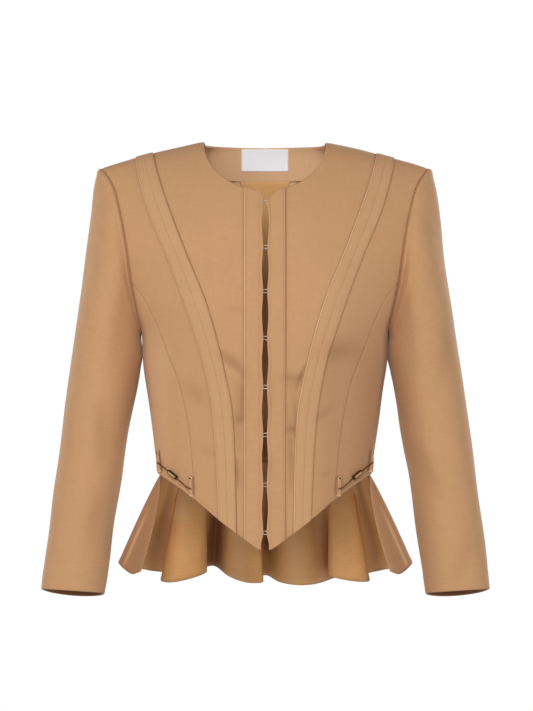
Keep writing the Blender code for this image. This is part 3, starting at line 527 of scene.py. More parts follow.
def surface(places, facing="front"):
    """Points of the body's outside at these angles and levels, on the wearer's left."""
    angle, level = places[..., 0], places[..., 1]
    z = np.full(angle.shape, -0.2)
    for _ in range(12):
        x = BODY(z)[..., 0] * np.sin(angle)
        z = shoulder(x) - drop_of(level, facing)
    depth = BODY(z)[..., 2 if facing == "back" else 1]
    across = np.maximum(np.cos(angle), 0)
    over = np.sin(np.minimum(level, 1) * math.pi / 2)
    if facing == "back":
        first, last = NECK_UPRIGHT_SPAN
        upright = blend(NECK_UPRIGHT, 1, ease((x - first) / (last - first)))
        return np.stack([x, depth * across**SECTION_POWER * over**upright, z], axis=-1)
    y = depth * across**SECTION_POWER * over
    spread = ((x - BUST["x"]) / BUST["wide"]) ** 2 + ((z - BUST["z"]) / BUST["high"]) ** 2
    full = BUST["out"] * np.exp(-spread) * np.minimum(1, 2 * across)
    return np.stack([x, -y - full, z], axis=-1)


def outward(places, facing):
    """Unit normals of the body's outside at these places."""
    turn, rise = np.array([PLACE_STEP, 0]), np.array([0, PLACE_STEP])
    high = np.minimum(places + turn, (math.pi / 2, 9))
    low = np.maximum(places - rise, 0)
    cross = np.cross(surface(high, facing) - surface(places - turn, facing),
                     surface(low, facing) - surface(places + rise, facing))
    return unit(cross) if facing == "front" else -unit(cross)


def armhole(share, facing="front"):
    """Places on the armhole, from 0 at the underarm to 1 at the shoulder."""
    found = ARMHOLE(share)
    return spot_at(np.minimum(found[..., 0], 90), found[..., 1], facing)


def rail(line, low, high, count):
    """Places up a line on the front that gives a distance from the middle at each height."""
    level = np.linspace(low, high, count)
    x = np.full(count, 0.1)
    for _ in range(14):
        z = shoulder(x) - drop_of(level, "front")
        x = line(z)
    return spot(x, z)


def fill(left, right, foot, top, shares, reach=1):
    """Places of a patch between two rails of as many rows, its foot and its top."""
    up = np.linspace(0, 1, len(left))[:, None, None]
    share = np.asarray(shares)[None, :, None]
    low = foot[None] - blend(left[0], right[0], share)
    high = top[None] - blend(left[-1], right[-1], share)
    return blend(left[:, None], right[:, None], share) + (1 - up) * low + up**reach * high


def turn_of(x):
    """Share of the neckline, from the middle, at this distance from the middle."""
    return math.asin(x / NECK_HALF) * 2 / math.pi


def neckline(turn, corner):
    """Places on the front neckline, from 0 at the middle to 1 at the shoulder, its corner rounded off."""
    angle = np.asarray(turn) * math.pi / 2
    x = NECK_HALF * np.sin(angle)
    off = np.clip(1 - (x - GAP_BETWEEN) / NECK_CORNER_WIDE, 0, 1) ** 2
    return spot(x, -NECK_DEPTH * np.cos(angle) - corner * off)


def hem_height(x):
    """Height of the front hem, with the corner at the hooked edge rounded off."""
    off = np.clip(1 - (x - GAP_AT_HEM) / HEM_CORNER["wide"], 0, 1) ** 2
    return HEM(x)[..., 0] + HEM_CORNER["rise"] * off


def from_hem(x):
    """Level of the front hem at this distance from the middle."""
    return float(level_of(shoulder(np.array(x)) - hem_height(np.array(x)), "front"))


def inner_strip(z):
    """Distance of the strip's inner edge from the middle."""
    return STRIP(z)[..., 0]


def outer_strip(z):
    """Distance of the strip's outer edge from the middle."""
    return STRIP(z)[..., 1]


def crossing(line):
    """Distance from the middle at which a line meets the front hem."""
    x = np.array(0.05)
    for _ in range(20):
        x = line(HEM(x)[..., 0])
    return float(x)


def hooked(z):
    """Number of hooks passed on the way up to these heights."""
    return np.interp(z, HOOK_ROWS[::-1], range(len(HOOK_ROWS)))


def half_gap(z):
    """Half the gap between the hooked edges: closest at each hook."""
    first, last = HOOK_ROWS[0], HOOK_ROWS[-1]
    above, below = ease((z - first) / GAP_OPENS["neck"]), ease((last - z) / GAP_OPENS["hem"])
    swing = np.where(z > first, above, np.sin(math.pi * hooked(z)) ** 2)
    gap = blend(GAP_AT_HOOK, GAP_BETWEEN, swing)
    return np.where(z < last, blend(GAP_AT_HOOK, GAP_AT_HEM, below), gap)


def seam_rail(rows):
    """Rail of the front's outer edge: the princess seam, then the armhole to the shoulder."""
    low = round((rows - 1) * FRONT_LOW / FRONT_ROWS)
    foot = level_of(shoulder(np.array(PRINCESS_ROWS[0][1])) - PRINCESS_ROWS[0][0], "front")
    top = armhole(PRINCESS_SHARE)
    seam = rail(lambda z: PRINCESS(z)[..., 0], foot, top[1], low + 1)
    seam[-1] = top
    steps = np.linspace(0, len(FRONT_ARM_SHARES) - 1, rows - low)
    shares = np.interp(steps, range(len(FRONT_ARM_SHARES)), FRONT_ARM_SHARES)
    return np.vstack([seam, armhole(shares[1:])])


def front_zone(zone, rows, shares, corner):
    """Places of one zone of a front: its band, chest, strip or flank, in columns outwards."""
    shares = np.asarray(shares)
    inner_x, outer_x = crossing(inner_strip), crossing(outer_strip)
    seam_x = PRINCESS_ROWS[0][1]
    start, stop = turn_of(GAP_BETWEEN), turn_of(BAND_EDGE)
    edge = rail(half_gap, spot(GAP_AT_HEM, FRONT_FOOT)[1], neckline(start, corner)[1], rows)
    band = rail(lambda z: BAND_EDGE + 0 * z, from_hem(BAND_EDGE), neckline(stop, corner)[1], rows)
    inner = rail(inner_strip, from_hem(inner_x), 0, rows)
    outer = rail(outer_strip, from_hem(outer_x), 0, rows)
    inner_top, outer_top = surface(inner[-1])[0], surface(outer[-1])[0]

    def hem(first, last):
        x = blend(first, last, shares)
        return spot(x, hem_height(x))

    def ridge(first, last, along=shares):
        x = blend(first, last, along)
        return spot(x, shoulder(x))

    if zone == "band":
        top = neckline(blend(start, stop, shares), corner)
        return fill(edge, band, hem(GAP_AT_HEM, BAND_EDGE), top, shares)
    if zone == "chest":
        on_neck = neckline(blend(stop, 1, np.minimum(shares / NECK_COLUMN, 1)), corner)
        on_ridge = ridge(NECK_HALF, inner_top, np.maximum((shares - NECK_COLUMN) / (1 - NECK_COLUMN), 0))
        top = np.where((shares <= NECK_COLUMN)[:, None], on_neck, on_ridge)
        return fill(band, inner, hem(BAND_EDGE, inner_x), top, shares, NECK_REACH)
    if zone == "strip":
        return fill(inner, outer, hem(inner_x, outer_x), ridge(inner_top, outer_top), shares)
    return fill(outer, seam_rail(rows), hem(outer_x, seam_x), ridge(outer_top, SHOULDER_HALF), shares)


def front_places(rows, corner):
    """Places of a whole front, in columns from the hooked edge to the princess seam, and the columns at
    which its band and strip begin or end."""
    beside = np.array((0.005, 0.012, 0.022))  # columns close to the edges of the band and strip
    neck, ridge = np.linspace(0, NECK_COLUMN, 26), np.linspace(NECK_COLUMN, 1, 18)
    chest = np.concatenate([neck, ridge, beside, 1 - beside])
    flank = np.concatenate([1 - (1 - np.linspace(0, 1, 34)) ** 1.35, beside])
    trim = np.linspace(0, 1, 9)
    zones = (("band", trim), ("chest", np.unique(chest)), ("strip", trim), ("flank", np.unique(flank)))
    patches = [front_zone(zone, rows, shares, corner) for zone, shares in zones]
    ends = np.cumsum([patch.shape[1] - 1 for patch in patches])
    return np.concatenate([patches[0]] + [patch[:, 1:] for patch in patches[1:]], axis=1), ends[:3]


def side_front_places(rows, columns):
    """Places of a side front, in columns from the princess seam to the side seam."""
    whole = round((rows - 1) * FRONT_ROWS / FRONT_LOW) + 1
    seam = seam_rail(whole)[:rows]
    levels = np.linspace(spot_at(90, SIDE_HEM)[1], armhole(0.0)[1], rows)
    side = np.stack([np.full(rows, math.pi / 2), levels], axis=-1)
    shares = gathered(columns)
    x = blend(PRINCESS_ROWS[0][1], BODY(SIDE_HEM)[0], shares)
    foot = spot(x, hem_height(x))
    top = armhole(PRINCESS_SHARE * (1 - shares))
    return fill(seam, side, foot, top, shares)


def back_hem(angle):
    """Height of the back's hem."""
    return blend(BACK_HEM, SIDE_HEM, np.sin(angle) ** 2)


def back_neckline(turn):
    """Places on the back neckline, from 0 at the middle to 1 at the shoulder."""
    angle = np.asarray(turn) * math.pi / 2
    level = np.arcsin(math.sin(NECK_BACK_LEVEL * math.pi / 2) * np.cos(angle)) * 2 / math.pi
    x = NECK_HALF * np.sin(angle)
    return spot(x, shoulder(x) - drop_of(level, "back"), "back")


def back_side_rail(rows, top_share=1.0, lift=0.0):
    """Rail of the back's outer edge: the side seam, then the armhole."""
    low = round((rows - 1) * BACK_LOW / BACK_ROWS)
    levels = np.linspace(spot_at(90, SIDE_HEM + lift, "back")[1], armhole(0.0, "back")[1], low + 1)
    side = np.stack([np.full(low + 1, math.pi / 2), levels], axis=-1)
    steps = np.linspace(0, len(BACK_ARM_SHARES) - 1, rows - low)
    shares = np.interp(steps, range(len(BACK_ARM_SHARES)), BACK_ARM_SHARES)
    return np.vstack([side, armhole(shares[1:] * top_share, "back")])


def inner_rail(low, high, outer):
    """Rail inside the back, even below and above the row at the underarm."""
    count = len(outer)
    row = round((count - 1) * BACK_LOW / BACK_ROWS)
    underarm = (outer[row, 1] - outer[0, 1]) / (outer[-1, 1] - outer[0, 1])
    pace = np.interp(np.arange(count), (0, row, count - 1), (0, underarm, 1))
    return blend(low, high, pace[:, None])


def back_places(rows):
    """Places of half the back, in columns from the centre back to the side."""
    side = back_side_rail(rows)
    middle = inner_rail(spot(0, BACK_HEM, "back"), back_neckline(0), side)
    below_neck = math.radians(NECK_ANGLE)
    neck_foot = spot_at(NECK_ANGLE, back_hem(below_neck), "back")
    neck = inner_rail(neck_foot, back_neckline(1), side)

    def foot(first, last, shares):
        angle = blend(first, last, shares)
        return spot_at(np.degrees(angle), back_hem(angle), "back")

    near = np.linspace(0, 1, 29) ** 1.25
    far = 1 - (1 - np.linspace(0, 1, 45)) ** 1.25
    x = blend(NECK_HALF, SHOULDER_HALF, far)
    inner = fill(middle, neck, foot(0, below_neck, near), back_neckline(near), near)
    outer = fill(neck, side, foot(below_neck, math.pi / 2, far), spot(x, shoulder(x), "back"), far)
    return np.concatenate([inner, outer[:, 1:]], axis=1)


def normals(points, outside):
    """Unit normals of a grid of points, on the side that this direction points to on the whole."""
    normal = unit(square_to(points))
    return normal * np.sign((normal * outside).sum())


def from_edge(points, edge):
    """Distance along the cloth of each point of a grid from one of its edges."""
    axis = 1 if edge in ("left", "right") else 0
    step = np.linalg.norm(np.diff(points, axis=axis), axis=2)
    run = np.concatenate([np.zeros_like(np.take(step, [0], axis)), np.cumsum(step, axis)], axis)
    return run if edge in ("left", "foot") else np.take(run, [-1], axis) - run


def drawn_in(points, edges, depth=0.0009, wide=0.0020):
    """How far the cloth dips into the seams at these edges."""
    return -sum(depth * bell(from_edge(points, edge), wide) for edge in edges)


def seam_shade(points, edges, dark=0.5, wide=0.0008):
    """Painted shade in the seams at these edges, or painted highlight where dark is below 0."""
    return sum(dark * bell(from_edge(points, edge), wide) for edge in edges)


def turned_up(points, edge, wide, thick=0.0005):
    """How far a hem's turning stands out, and the dip of the stitching that holds it."""
    far = from_edge(points, edge)
    stitched = 0.5 * thick * bell(far - wide, 0.0011)
    curl = 0.7 * thick * bell(far, 0.0009)
    return thick * (1 - ease((far - wide) / 0.0012)) - stitched - curl


def creases(points, panel, side):
    """How far the creases of one panel move its points out."""
    out = np.zeros(points.shape[:2])
    place = np.stack([np.abs(points[..., 0]), points[..., 2]], axis=-1)
    for where, which, *numbers in CREASE_ROWS:
        if where != panel or which != side:
            continue
        first, last, wide, depth = np.array(numbers[:2]), np.array(numbers[2:4]), *numbers[4:]
        run = last - first
        along = np.clip(((place - first) @ run) / (run @ run), 0, 1)
        away = np.linalg.norm(place - first - along[..., None] * run, axis=-1)
        full = 0.55 + 0.45 * np.sin(np.pi * along)
        out += depth * full * bell(away, wide)
    return out


def crease_shade(points, panel, side):
    """Painted shade in the cloth's creases, where shade falls in them."""
    return np.clip(-CREASE_SHADE * creases(points, panel, side), 0, CREASE_SHADE_MOST)


def flank_shade(points, side):
    """Painted shade on the wearer's left front from the bust down, turned from the light, and a painted
    highlight at the side of the right one.
    """
    x, low = points[..., 0], ease((-0.22 - points[..., 2]) / 0.07)
    if side > 0:
        return low * (0.16 * ease((x - 0.055) / 0.03) + 0.08 * ease((x - 0.105) / 0.03))
    return -0.14 * low * ease((x - 0.112) / 0.025)


def uneven(points, side, size):
    """Slow unevenness of the cloth, different on the two sides."""
    x, y, z = (points[..., k] for k in range(3))
    turn = 1.7 * side
    waves = np.sin(61 * z + 23 * x + turn) + np.sin(37 * z - 71 * x + 2.1 + turn)
    return size * 0.5 * (waves + np.sin(83 * y + 45 * z + 0.6 - turn))


def material(name):
    """A new material, its nodes and its shader."""
    look = bpy.data.materials.new(name)
    look.use_nodes = True
    return look, look.node_tree, look.node_tree.nodes["Principled BSDF"]


def fit(tree, made, inputs):
    """Set the inputs of a shader node, or join them to outputs."""
    for key, value in inputs.items():
        if isinstance(value, bpy.types.NodeSocket):
            tree.links.new(value, made.inputs[key])
        else:
            made.inputs[key].default_value = value


def node(tree, kind, inputs, **settings):
    """A new shader node with its settings and inputs."""
    made = tree.nodes.new(kind)
    for key, value in settings.items():
        setattr(made, key, value)
    fit(tree, made, inputs)
    return made


def total(tree, parts):
    """Sum of some outputs, each times its weight."""
    result = 0.0
    for output, weight in parts:
        step = node(tree, "ShaderNodeMath", {0: output, 1: weight, 2: result}, operation="MULTIPLY_ADD")
        result = step.outputs[0]
    return result


def ramp(tree, factor, stops):
    """Colours at positions from 0 to 1 of a factor."""
    made = node(tree, "ShaderNodeValToRGB", {"Fac": factor})
    elements = made.color_ramp.elements
    while len(elements) < len(stops):
        elements.new(0.5)
    for element, (position, colour) in zip(elements, stops):
        element.position = position
        element.color = (*colour, 1)
    return made.outputs["Color"]


def own_noise(tree, scale, **more):
    """Noise in the piece's own space."""
    place = node(tree, "ShaderNodeTexCoord", {})
    inputs = {"Vector": place.outputs["Object"], "Scale": scale, **more}
    return node(tree, "ShaderNodeTexNoise", inputs).outputs["Fac"]


def between(tree, value, low, high):
    """A value from 0 to 1 carried over to the span from low to high."""
    made = node(tree, "ShaderNodeMapRange", {"Value": value, "To Min": low, "To Max": high})
    return made.outputs["Result"]


def bumped(tree, height, strength, distance):
    made = node(tree, "ShaderNodeBump", {"Height": height, "Strength": strength, "Distance": distance})
    return made.outputs["Normal"]


def shaded(tree, colour):
    """A colour with painted shade where the shade attribute is above 0, in seams, creases and recesses, and
    painted highlight where it is below 0, on edges toward the light.
    """
    shade = node(tree, "ShaderNodeAttribute", {}, attribute_name="shade").outputs["Fac"]
    dark = node(tree, "ShaderNodeMix", {0: shade, 6: colour, 7: PAINTED_SHADE_COLOUR}, data_type="RGBA")
    bright = node(tree, "ShaderNodeMath", {0: shade, 1: -1.0}, operation="MULTIPLY")
    inputs = {0: bright.outputs[0], 6: dark.outputs[2], 7: PAINTED_HIGHLIGHT_COLOUR}
    return node(tree, "ShaderNodeMix", inputs, data_type="RGBA").outputs[2]


def cut_threads(tree, across, along):
    """Noise drawn out along or across the cut, as uneven yarn is."""
    cut = node(tree, "ShaderNodeUVMap", {}, uv_map="cut")
    scaled = node(tree, "ShaderNodeMapping", {"Vector": cut.outputs["UV"], "Scale": (across, along, 1)})
    noise = node(tree, "ShaderNodeTexNoise", {"Vector": scaled.outputs[0], "Scale": 1.0, "Detail": 2.0})
    return noise.outputs["Fac"]


def gabardine(name, deep, pale):
    """Worsted twill: fine steep ribs, uneven yarn and a slight bloom."""
    look, tree, shader = material(name)
    cut = node(tree, "ShaderNodeUVMap", {}, uv_map="cut")
    slant = node(tree, "ShaderNodeMapping", {"Vector": cut.outputs["UV"], "Rotation": (0, 0, 0.47)})
    ribs = {"Scale": 330.0, "Distortion": 1.5, "Detail": 2.0, "Detail Scale": 2.0}
    twill = node(tree, "ShaderNodeTexWave", {"Vector": slant.outputs[0], **ribs}).outputs["Fac"]
    warp, weft = cut_threads(tree, 560, 42), cut_threads(tree, 42, 560)
    cloud = own_noise(tree, 16.0, Detail=4.0, Roughness=0.6)
    tone = total(tree, [(warp, 0.36), (weft, 0.36), (cloud, 0.25), (twill, 0.03)])
    rib = total(tree, [(twill, 0.12), (warp, 0.5), (weft, 0.5)])
    fit(tree, shader, {
        "Base Color": shaded(tree, ramp(tree, tone, ((0.17, deep), (0.83, pale)))),
        "Roughness": between(tree, cloud, 0.70, 0.86),
        "Normal": bumped(tree, rib, 0.18, 0.0004),
        "Specular IOR Level": 0.25,
        "Sheen Weight": 0.22,
        "Sheen Roughness": 0.45,
        "Sheen Tint": (1.0, 0.90, 0.80, 1),
    })
    return look


def satin(name, deep, pale):
    """Lining: smooth, with a soft gloss across fine ribs."""
    look, tree, shader = material(name)
    warp, weft = cut_threads(tree, 1300, 40), cut_threads(tree, 50, 700)
    cloud = own_noise(tree, 22.0, Detail=3.0)
    tone = total(tree, [(warp, 0.35), (weft, 0.25), (cloud, 0.40)])
    fit(tree, shader, {
        "Base Color": shaded(tree, ramp(tree, tone, ((0.34, deep), (0.66, pale)))),
        "Roughness": between(tree, warp, 0.42, 0.60),
        "Normal": bumped(tree, warp, 0.25, 0.0002),
        "Specular IOR Level": 0.25,
        "Sheen Weight": 0.08,
        "Sheen Roughness": 0.35,
        "Sheen Tint": (1.0, 0.88, 0.68, 1),
    })
    return look


def woven_label(name, deep, pale):
    """Label: a close plain weave that glows a little, as painted light, so that it stays white in the
    neck's shade.
    """
    look, tree, shader = material(name)
    warp, weft = cut_threads(tree, 1500, 110), cut_threads(tree, 110, 1500)
    tone = total(tree, [(warp, 0.5), (weft, 0.5)])
    fit(tree, shader, {
        "Base Color": ramp(tree, tone, ((0.30, deep), (0.70, pale))),
        "Normal": bumped(tree, tone, 0.4, 0.0002),
        "Roughness": 0.62,
        # Painted light: the label glows a little though it is no lamp.
        "Emission Color": (0.96, 0.97, 1.0, 1),
        "Emission Strength": 0.17,
    })
    return look


def metal(name, deep, pale, rough, scale, bare=1.0):
    """Metal with darker, rougher places in its finish; bare is how metallic it looks."""
    look, tree, shader = material(name)
    stain = own_noise(tree, scale, Detail=5.0)
    fit(tree, shader, {
        "Base Color": ramp(tree, stain, ((0.36, deep), (0.62, pale))),
        "Roughness": between(tree, stain, rough + 0.2, rough),
        "Normal": bumped(tree, stain, 0.2, 0.0001),
        "Metallic": bare,
    })
    return look


def thread(name, deep, pale):
    """Sewing thread, mottled by its twist."""
    look, tree, shader = material(name)
    twist = own_noise(tree, 1100.0, Detail=2.0)
    fit(tree, shader, {
        "Base Color": ramp(tree, twist, ((0.35, deep), (0.65, pale))),
        "Roughness": 0.6,
    })
    return look


def piece(name, data, look, slot, *nodes):
    """An object in the scene that rides on the jacket and stands for some of its nodes."""
    obj = bpy.data.objects.new(name, data)
    data.materials.append(look)
    bpy.context.scene.collection.objects.link(obj)
    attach(obj, "root")
    if nodes:
        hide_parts(*nodes)
    return obj


def mesh_of(bm, name):
    """The mesh of a finished bmesh, which is freed."""
    mesh = bpy.data.meshes.new(name)
    bm.to_mesh(mesh)
    bm.free()
    return mesh


def cut_of(points, tube):
    """Width, length and area of a grid of points laid flat, and each point's place on the flat cut,
    with the grain along a tube or else upright."""
    middle = points.shape[1] // 2
    across = from_edge(points, "left")
    up = from_edge(points, "foot")
    level = (points[:, -1] - points[:, 0]).mean(axis=0) * (1, 1, 0)
    shift = 0.0 if tube else points[:, middle] @ (level / np.linalg.norm(level))
    high = np.broadcast_to(up[:, middle : middle + 1], across.shape) if tube else points[..., 2]
    flat = np.stack([across - (across[:, middle] - shift)[:, None], high], axis=-1)
    one, two = points[1:, 1:] - points[:-1, :-1], points[1:, :-1] - points[:-1, 1:]
    area = np.linalg.norm(np.cross(one, two), axis=-1).sum() / 2
    return float(across[:, -1].max()), float(up[-1].max()), float(area), flat


def grid_mesh(name, points, shade, tube):
    """A grid moved onto these points, with their places on the flat cut as its UV map."""
    rows, columns = points.shape[:2]
    bm = bmesh.new()
    bmesh.ops.create_grid(bm, x_segments=columns - 1, y_segments=rows - 1, size=1)
    flat = cut_of(points, tube)[3]
    uv = bm.loops.layers.uv.new("cut")
    tone = bm.verts.layers.float.new("shade")
    for vert in bm.verts:
        i = round((vert.co.x + 1) / 2 * (columns - 1))
        j = round((vert.co.y + 1) / 2 * (rows - 1))
        vert.co = points[j, i]
        vert[tone] = shade[j, i]
        for loop in vert.link_loops:
            loop[uv].uv = flat[j, i]
    if tube:
        bmesh.ops.remove_doubles(bm, verts=bm.verts, dist=MERGE)
    for face in bm.faces:
        face.smooth = True
    return mesh_of(bm, name)


def walled(title, points, outside, thick, look, slot, shade, tube=False):
    """The shell of one node of cloth on a grid of points, its wall on the side away from outside."""
    if shade is None:
        shade = np.zeros(points.shape[:2])
    if (square_to(points) * outside).sum() < 0:
        points, shade = points[:, ::-1], shade[:, ::-1]
    name = f"{title}_cloth"
    obj = piece(name, grid_mesh(name, points, shade, tube), look, slot, title)
    wall = obj.modifiers.new("wall", "SOLIDIFY")
    wall.thickness = thick
    wall.offset = -1
    wall.use_even_offset = False
    return obj


def cloth(title, points, outside, thick, look, slot, shade=None, tube=False):
    """The shell of one node of cloth."""
    obj = walled(title, points, outside, thick, look, slot, shade, tube)
    wide, long, area, _ = cut_of(points, tube)


def on_side(points, side):
    """Points of the wearer's left put on this side."""
    return points * (side, 1, 1)


STITCHES = {kind: [] for kind in STITCH_ROWS}


def sew(line, normal, kind="wool"):
    """A row of stitches along a line of points, each with its ends sunk into the cloth."""
    pitch, long, lift = STITCH_ROWS[kind]
    run = np.concatenate([[0], np.cumsum(np.linalg.norm(np.diff(line, axis=0), axis=1))])
    starts = np.arange(pitch / 2, run[-1] - pitch, pitch)
    steps = starts[:, None] + np.array([0, 0.2, 0.8, 1]) * long
    height = np.array([-STITCH_SUNK, lift, lift, -STITCH_SUNK])
    at = np.stack([np.interp(steps, run, line[:, k]) for k in range(3)], axis=-1)
    up = np.stack([np.interp(steps, run, normal[:, k]) for k in range(3)], axis=-1)
    STITCHES[kind].extend(at + up * height[None, :, None])


def sewn_along(points, normal, edge, inset, kind="wool"):
    """Stitches along a grid of points, this far in from one of its edges."""
    far = from_edge(points, edge)
    if edge in ("foot", "top"):
        far, points, normal = far.T, points.transpose(1, 0, 2), normal.transpose(1, 0, 2)
    line, up = [], []
    for run, row, out in zip(far, points, normal):
        order = np.argsort(run)
        line.append([np.interp(inset, run[order], row[order, k]) for k in range(3)])
        up.append([np.interp(inset, run[order], out[order, k]) for k in range(3)])
    sew(np.array(line), np.array(up), kind)


def wire(name, runs, radius, look, slot, nodes, kind="POLY", sides=2, slim=1.0):
    """Round wires along runs of points, as one piece; slim gives shares of the radius."""
    data = bpy.data.curves.new(name, "CURVE")
    data.dimensions = "3D"
    data.bevel_depth = radius
    data.bevel_resolution = sides
    data.use_fill_caps = True
    for run in runs:
        spline = data.splines.new(kind)
        spline.points.add(len(run) - 1)
        spline.points.foreach_set("co", np.column_stack([run, np.ones(len(run))]).ravel())
        spline.points.foreach_set("radius", np.ones(len(run)) * slim)
        if kind == "NURBS":
            spline.order_u = 3
            spline.use_endpoint_u = True
            spline.resolution_u = 4
    path = bpy.data.objects.new(name, data)
    bm = bmesh.new()
    bm.from_mesh(bpy.data.meshes.new_from_object(path))
    bmesh.ops.remove_doubles(bm, verts=bm.verts, dist=MERGE)
    for face in bm.faces:
        face.smooth = len(face.verts) == 4
    bpy.data.objects.remove(path)
    return piece(name, mesh_of(bm, name), look, slot, *nodes)


def front_out(points, side):
    """How far the creases, the hooks' pull and the cloth's unevenness move a front out."""
    x, z = points[..., 0], points[..., 2]
    pull = -HOOK_PULL * np.cos(2 * math.pi * hooked(z)) * bell(x, HOOK_REACH)
    return creases(points, "front", side) + uneven(points, side, 0.0004) + pull


def build_fronts(wool):
    """The fronts with their bands and strips, and the side fronts."""
    for name, side in SIDES.items():
        places, (band_end, strip_start, strip_end) = front_places(FRONT_LINES, NECK_CORNER[name])
        base = surface(places)
        normal = normals(base, FORWARD)
        out = front_out(base, side) + drawn_in(base, ("right",), 0.0005)
        out += turned_up(base, "foot", HEM_TURNING)
        out += drawn_in(base, ("top",)) * ease((base[..., 0] - NECK_HALF) / 0.006)
        run = from_edge(base, "left")
        # Painted shade in the princess and armhole seams, in creases and beside the band's and strip's
        # edges, darkest beside edges away from the light, with the flank's painted light.
        shade = 0.8 * seam_shade(base, ("right",)) * blend(0.35, 1.0, ease((base[..., 2] + 0.20) / 0.03))
        shade += crease_shade(base, "front", side) + flank_shade(base, side)
        for column, toward in ((band_end, 1), (strip_start, -1), (strip_end, 1)):
            far = run - run[:, column : column + 1]
            if toward == side:
                out -= 0.0004 * bell(far, 0.0012)
                shade += 0.36 * bell(far, 0.0008) + 0.12 * bell(far, 0.0030)
            else:
                shade += 0.20 * bell(far, 0.0032)
        shade *= ease(from_edge(base, "top") / 0.005)
        points = on_side(moved(base, normal, out), side)
        cloth(f"front_{name}", points, FORWARD, SHELL, wool, "gabardine",
              shade)
        sewn_along(points[:, band_end:], on_side(normal, side)[:, band_end:], "foot", HEM_TURNING)
        build_band(name, side, wool)
        build_strip(name, side, wool)
        build_side_front(name, side, wool)


def raised(points, side, thick, edges):
    """How far a strip of cloth stands out on a front: thick, rounded at its edges, rippled by stitching."""
    near = np.minimum.reduce([from_edge(points, edge) for edge in edges])
    rounded = np.sqrt(np.clip(1 - (1 - np.minimum(near / 0.0011, 1)) ** 2, 0, 1))
    run = from_edge(points, "foot")
    pitch = STITCH_ROWS["wool"][0]
    waves = np.sin(run * 2 * math.pi / pitch + 2.5 * np.sin(run * 31 + side))
    return SEAM + thick * rounded + 0.00012 * waves * bell(near - 0.003, 0.004)


def stitched_in(points, edge, inset):
    """The dip along a row of stitches."""
    return -0.0004 * bell(from_edge(points, edge) - inset, 0.0011)


def build_band(name, side, wool):
    base = surface(front_zone("band", BAND_LINES, edged(TRIM_COLUMNS), NECK_CORNER[name]))
    normal = normals(base, FORWARD)
    out = front_out(base, side) + raised(base, side, 0.0011, ("left", "right", "foot", "top"))
    out += sum(stitched_in(base, edge, inset) for edge, inset in BAND_STITCHES.items())
    points = on_side(moved(base, normal, out), side)
    # Painted shade on the band's outer edge where it turns from the light, a painted highlight where it
    # turns toward it, and painted shade in its creases.
    shade = seam_shade(base, ("right",), 0.26 if side > 0 else -0.60, 0.0009)
    shade += 0.6 * crease_shade(base, "front", side)
    cloth(f"front_band_{name}", points, FORWARD, TRIM, wool, "gabardine",
          shade)
    for edge, inset in BAND_STITCHES.items():
        sewn_along(points, on_side(normal, side), edge, inset)


def strip_edges(points, side):
    """A strip's shade: a dark edge away from the light and a pale one toward it."""
    dark, lit = ("right", "left") if side > 0 else ("left", "right")
    return seam_shade(points, (dark,), 0.26, 0.0006) + seam_shade(points, (lit,), -0.55, 0.0009)


def build_strip(name, side, wool):
    base = surface(front_zone("strip", STRIP_LINES, edged(TRIM_COLUMNS), 0.0))
    normal = normals(base, FORWARD)
    out = raised(base, side, 0.0012, ("left", "right")) * ease(from_edge(base, "top") / 0.004 + 0.1)
    out += front_out(base, side)
    middle = from_edge(base, "left") - from_edge(base, "right")[:, :1] / 2
    out += sum(stitched_in(base, edge, STRIP_STITCH) for edge in ("left", "right"))
    out += -0.0004 * bell(middle, 0.0011) + drawn_in(base, ("top",))
    points = on_side(moved(base, normal, out), side)
    # Painted light and shade at its edges, a faint painted highlight over its face, and painted shade in
    # its creases.
    shade = strip_edges(base, side) * ease(from_edge(base, "top") / 0.006) - 0.06
    shade += 0.5 * crease_shade(base, "front", side)
    cloth(f"shoulder_strip_{name}", points, FORWARD, TRIM, wool, "gabardine",
          shade)
    normal = on_side(normal, side)
    for edge in ("left", "right"):
        sewn_along(points, normal, edge, STRIP_STITCH)
    column = TRIM_COLUMNS // 2
    sew(points[:, column], normal[:, column])


def build_side_front(name, side, wool):
    base = surface(side_front_places(SIDE_FRONT_LINES, SIDE_FRONT_COLUMNS))
    normal = normals(base, (1, -0.3, 0))
    out = front_out(base, side) + turned_up(base, "foot", HEM_TURNING)
    out += drawn_in(base, ("right", "top")) + drawn_in(base, ("left",), 0.0005)
    out += 0.0012 * bell(base[..., 2] + 0.285, 0.034) * ease(from_edge(base, "left") / 0.03)
    points = on_side(moved(base, normal, out), side)
    # Painted shade in its seams and creases, with the flank's painted shade or highlight.
    shade = seam_shade(base, ("left", "top"), 0.20)
    shade += crease_shade(base, "front", side)
    shade += flank_shade(base, side)
    cloth(f"side_front_{name}", points, (side, -0.3, 0), SHELL, wool, "gabardine",
          shade)
    sewn_along(points, on_side(normal, side), "foot", HEM_TURNING)


def build_backs(wool):
    for name, side in SIDES.items():
        base = surface(back_places(BACK_LINES), "back")
        normal = normals(base, (0.2, 1, 0))
        beside_seam = 1 - bell(base[..., 0], 0.012)
        out = creases(base, "back", side) * beside_seam
        out += uneven(base, side, 0.0003) * beside_seam
        out += drawn_in(base, ("left", "right", "top", "foot"))
        points = on_side(moved(base, normal, out), side)
        # Painted shade in its seams and creases.
        shade = seam_shade(base, ("left", "right", "foot"), 0.4) + crease_shade(base, "back", side)
        cloth(f"back_{name}", points, -FORWARD, SHELL, wool, "gabardine",
              shade)


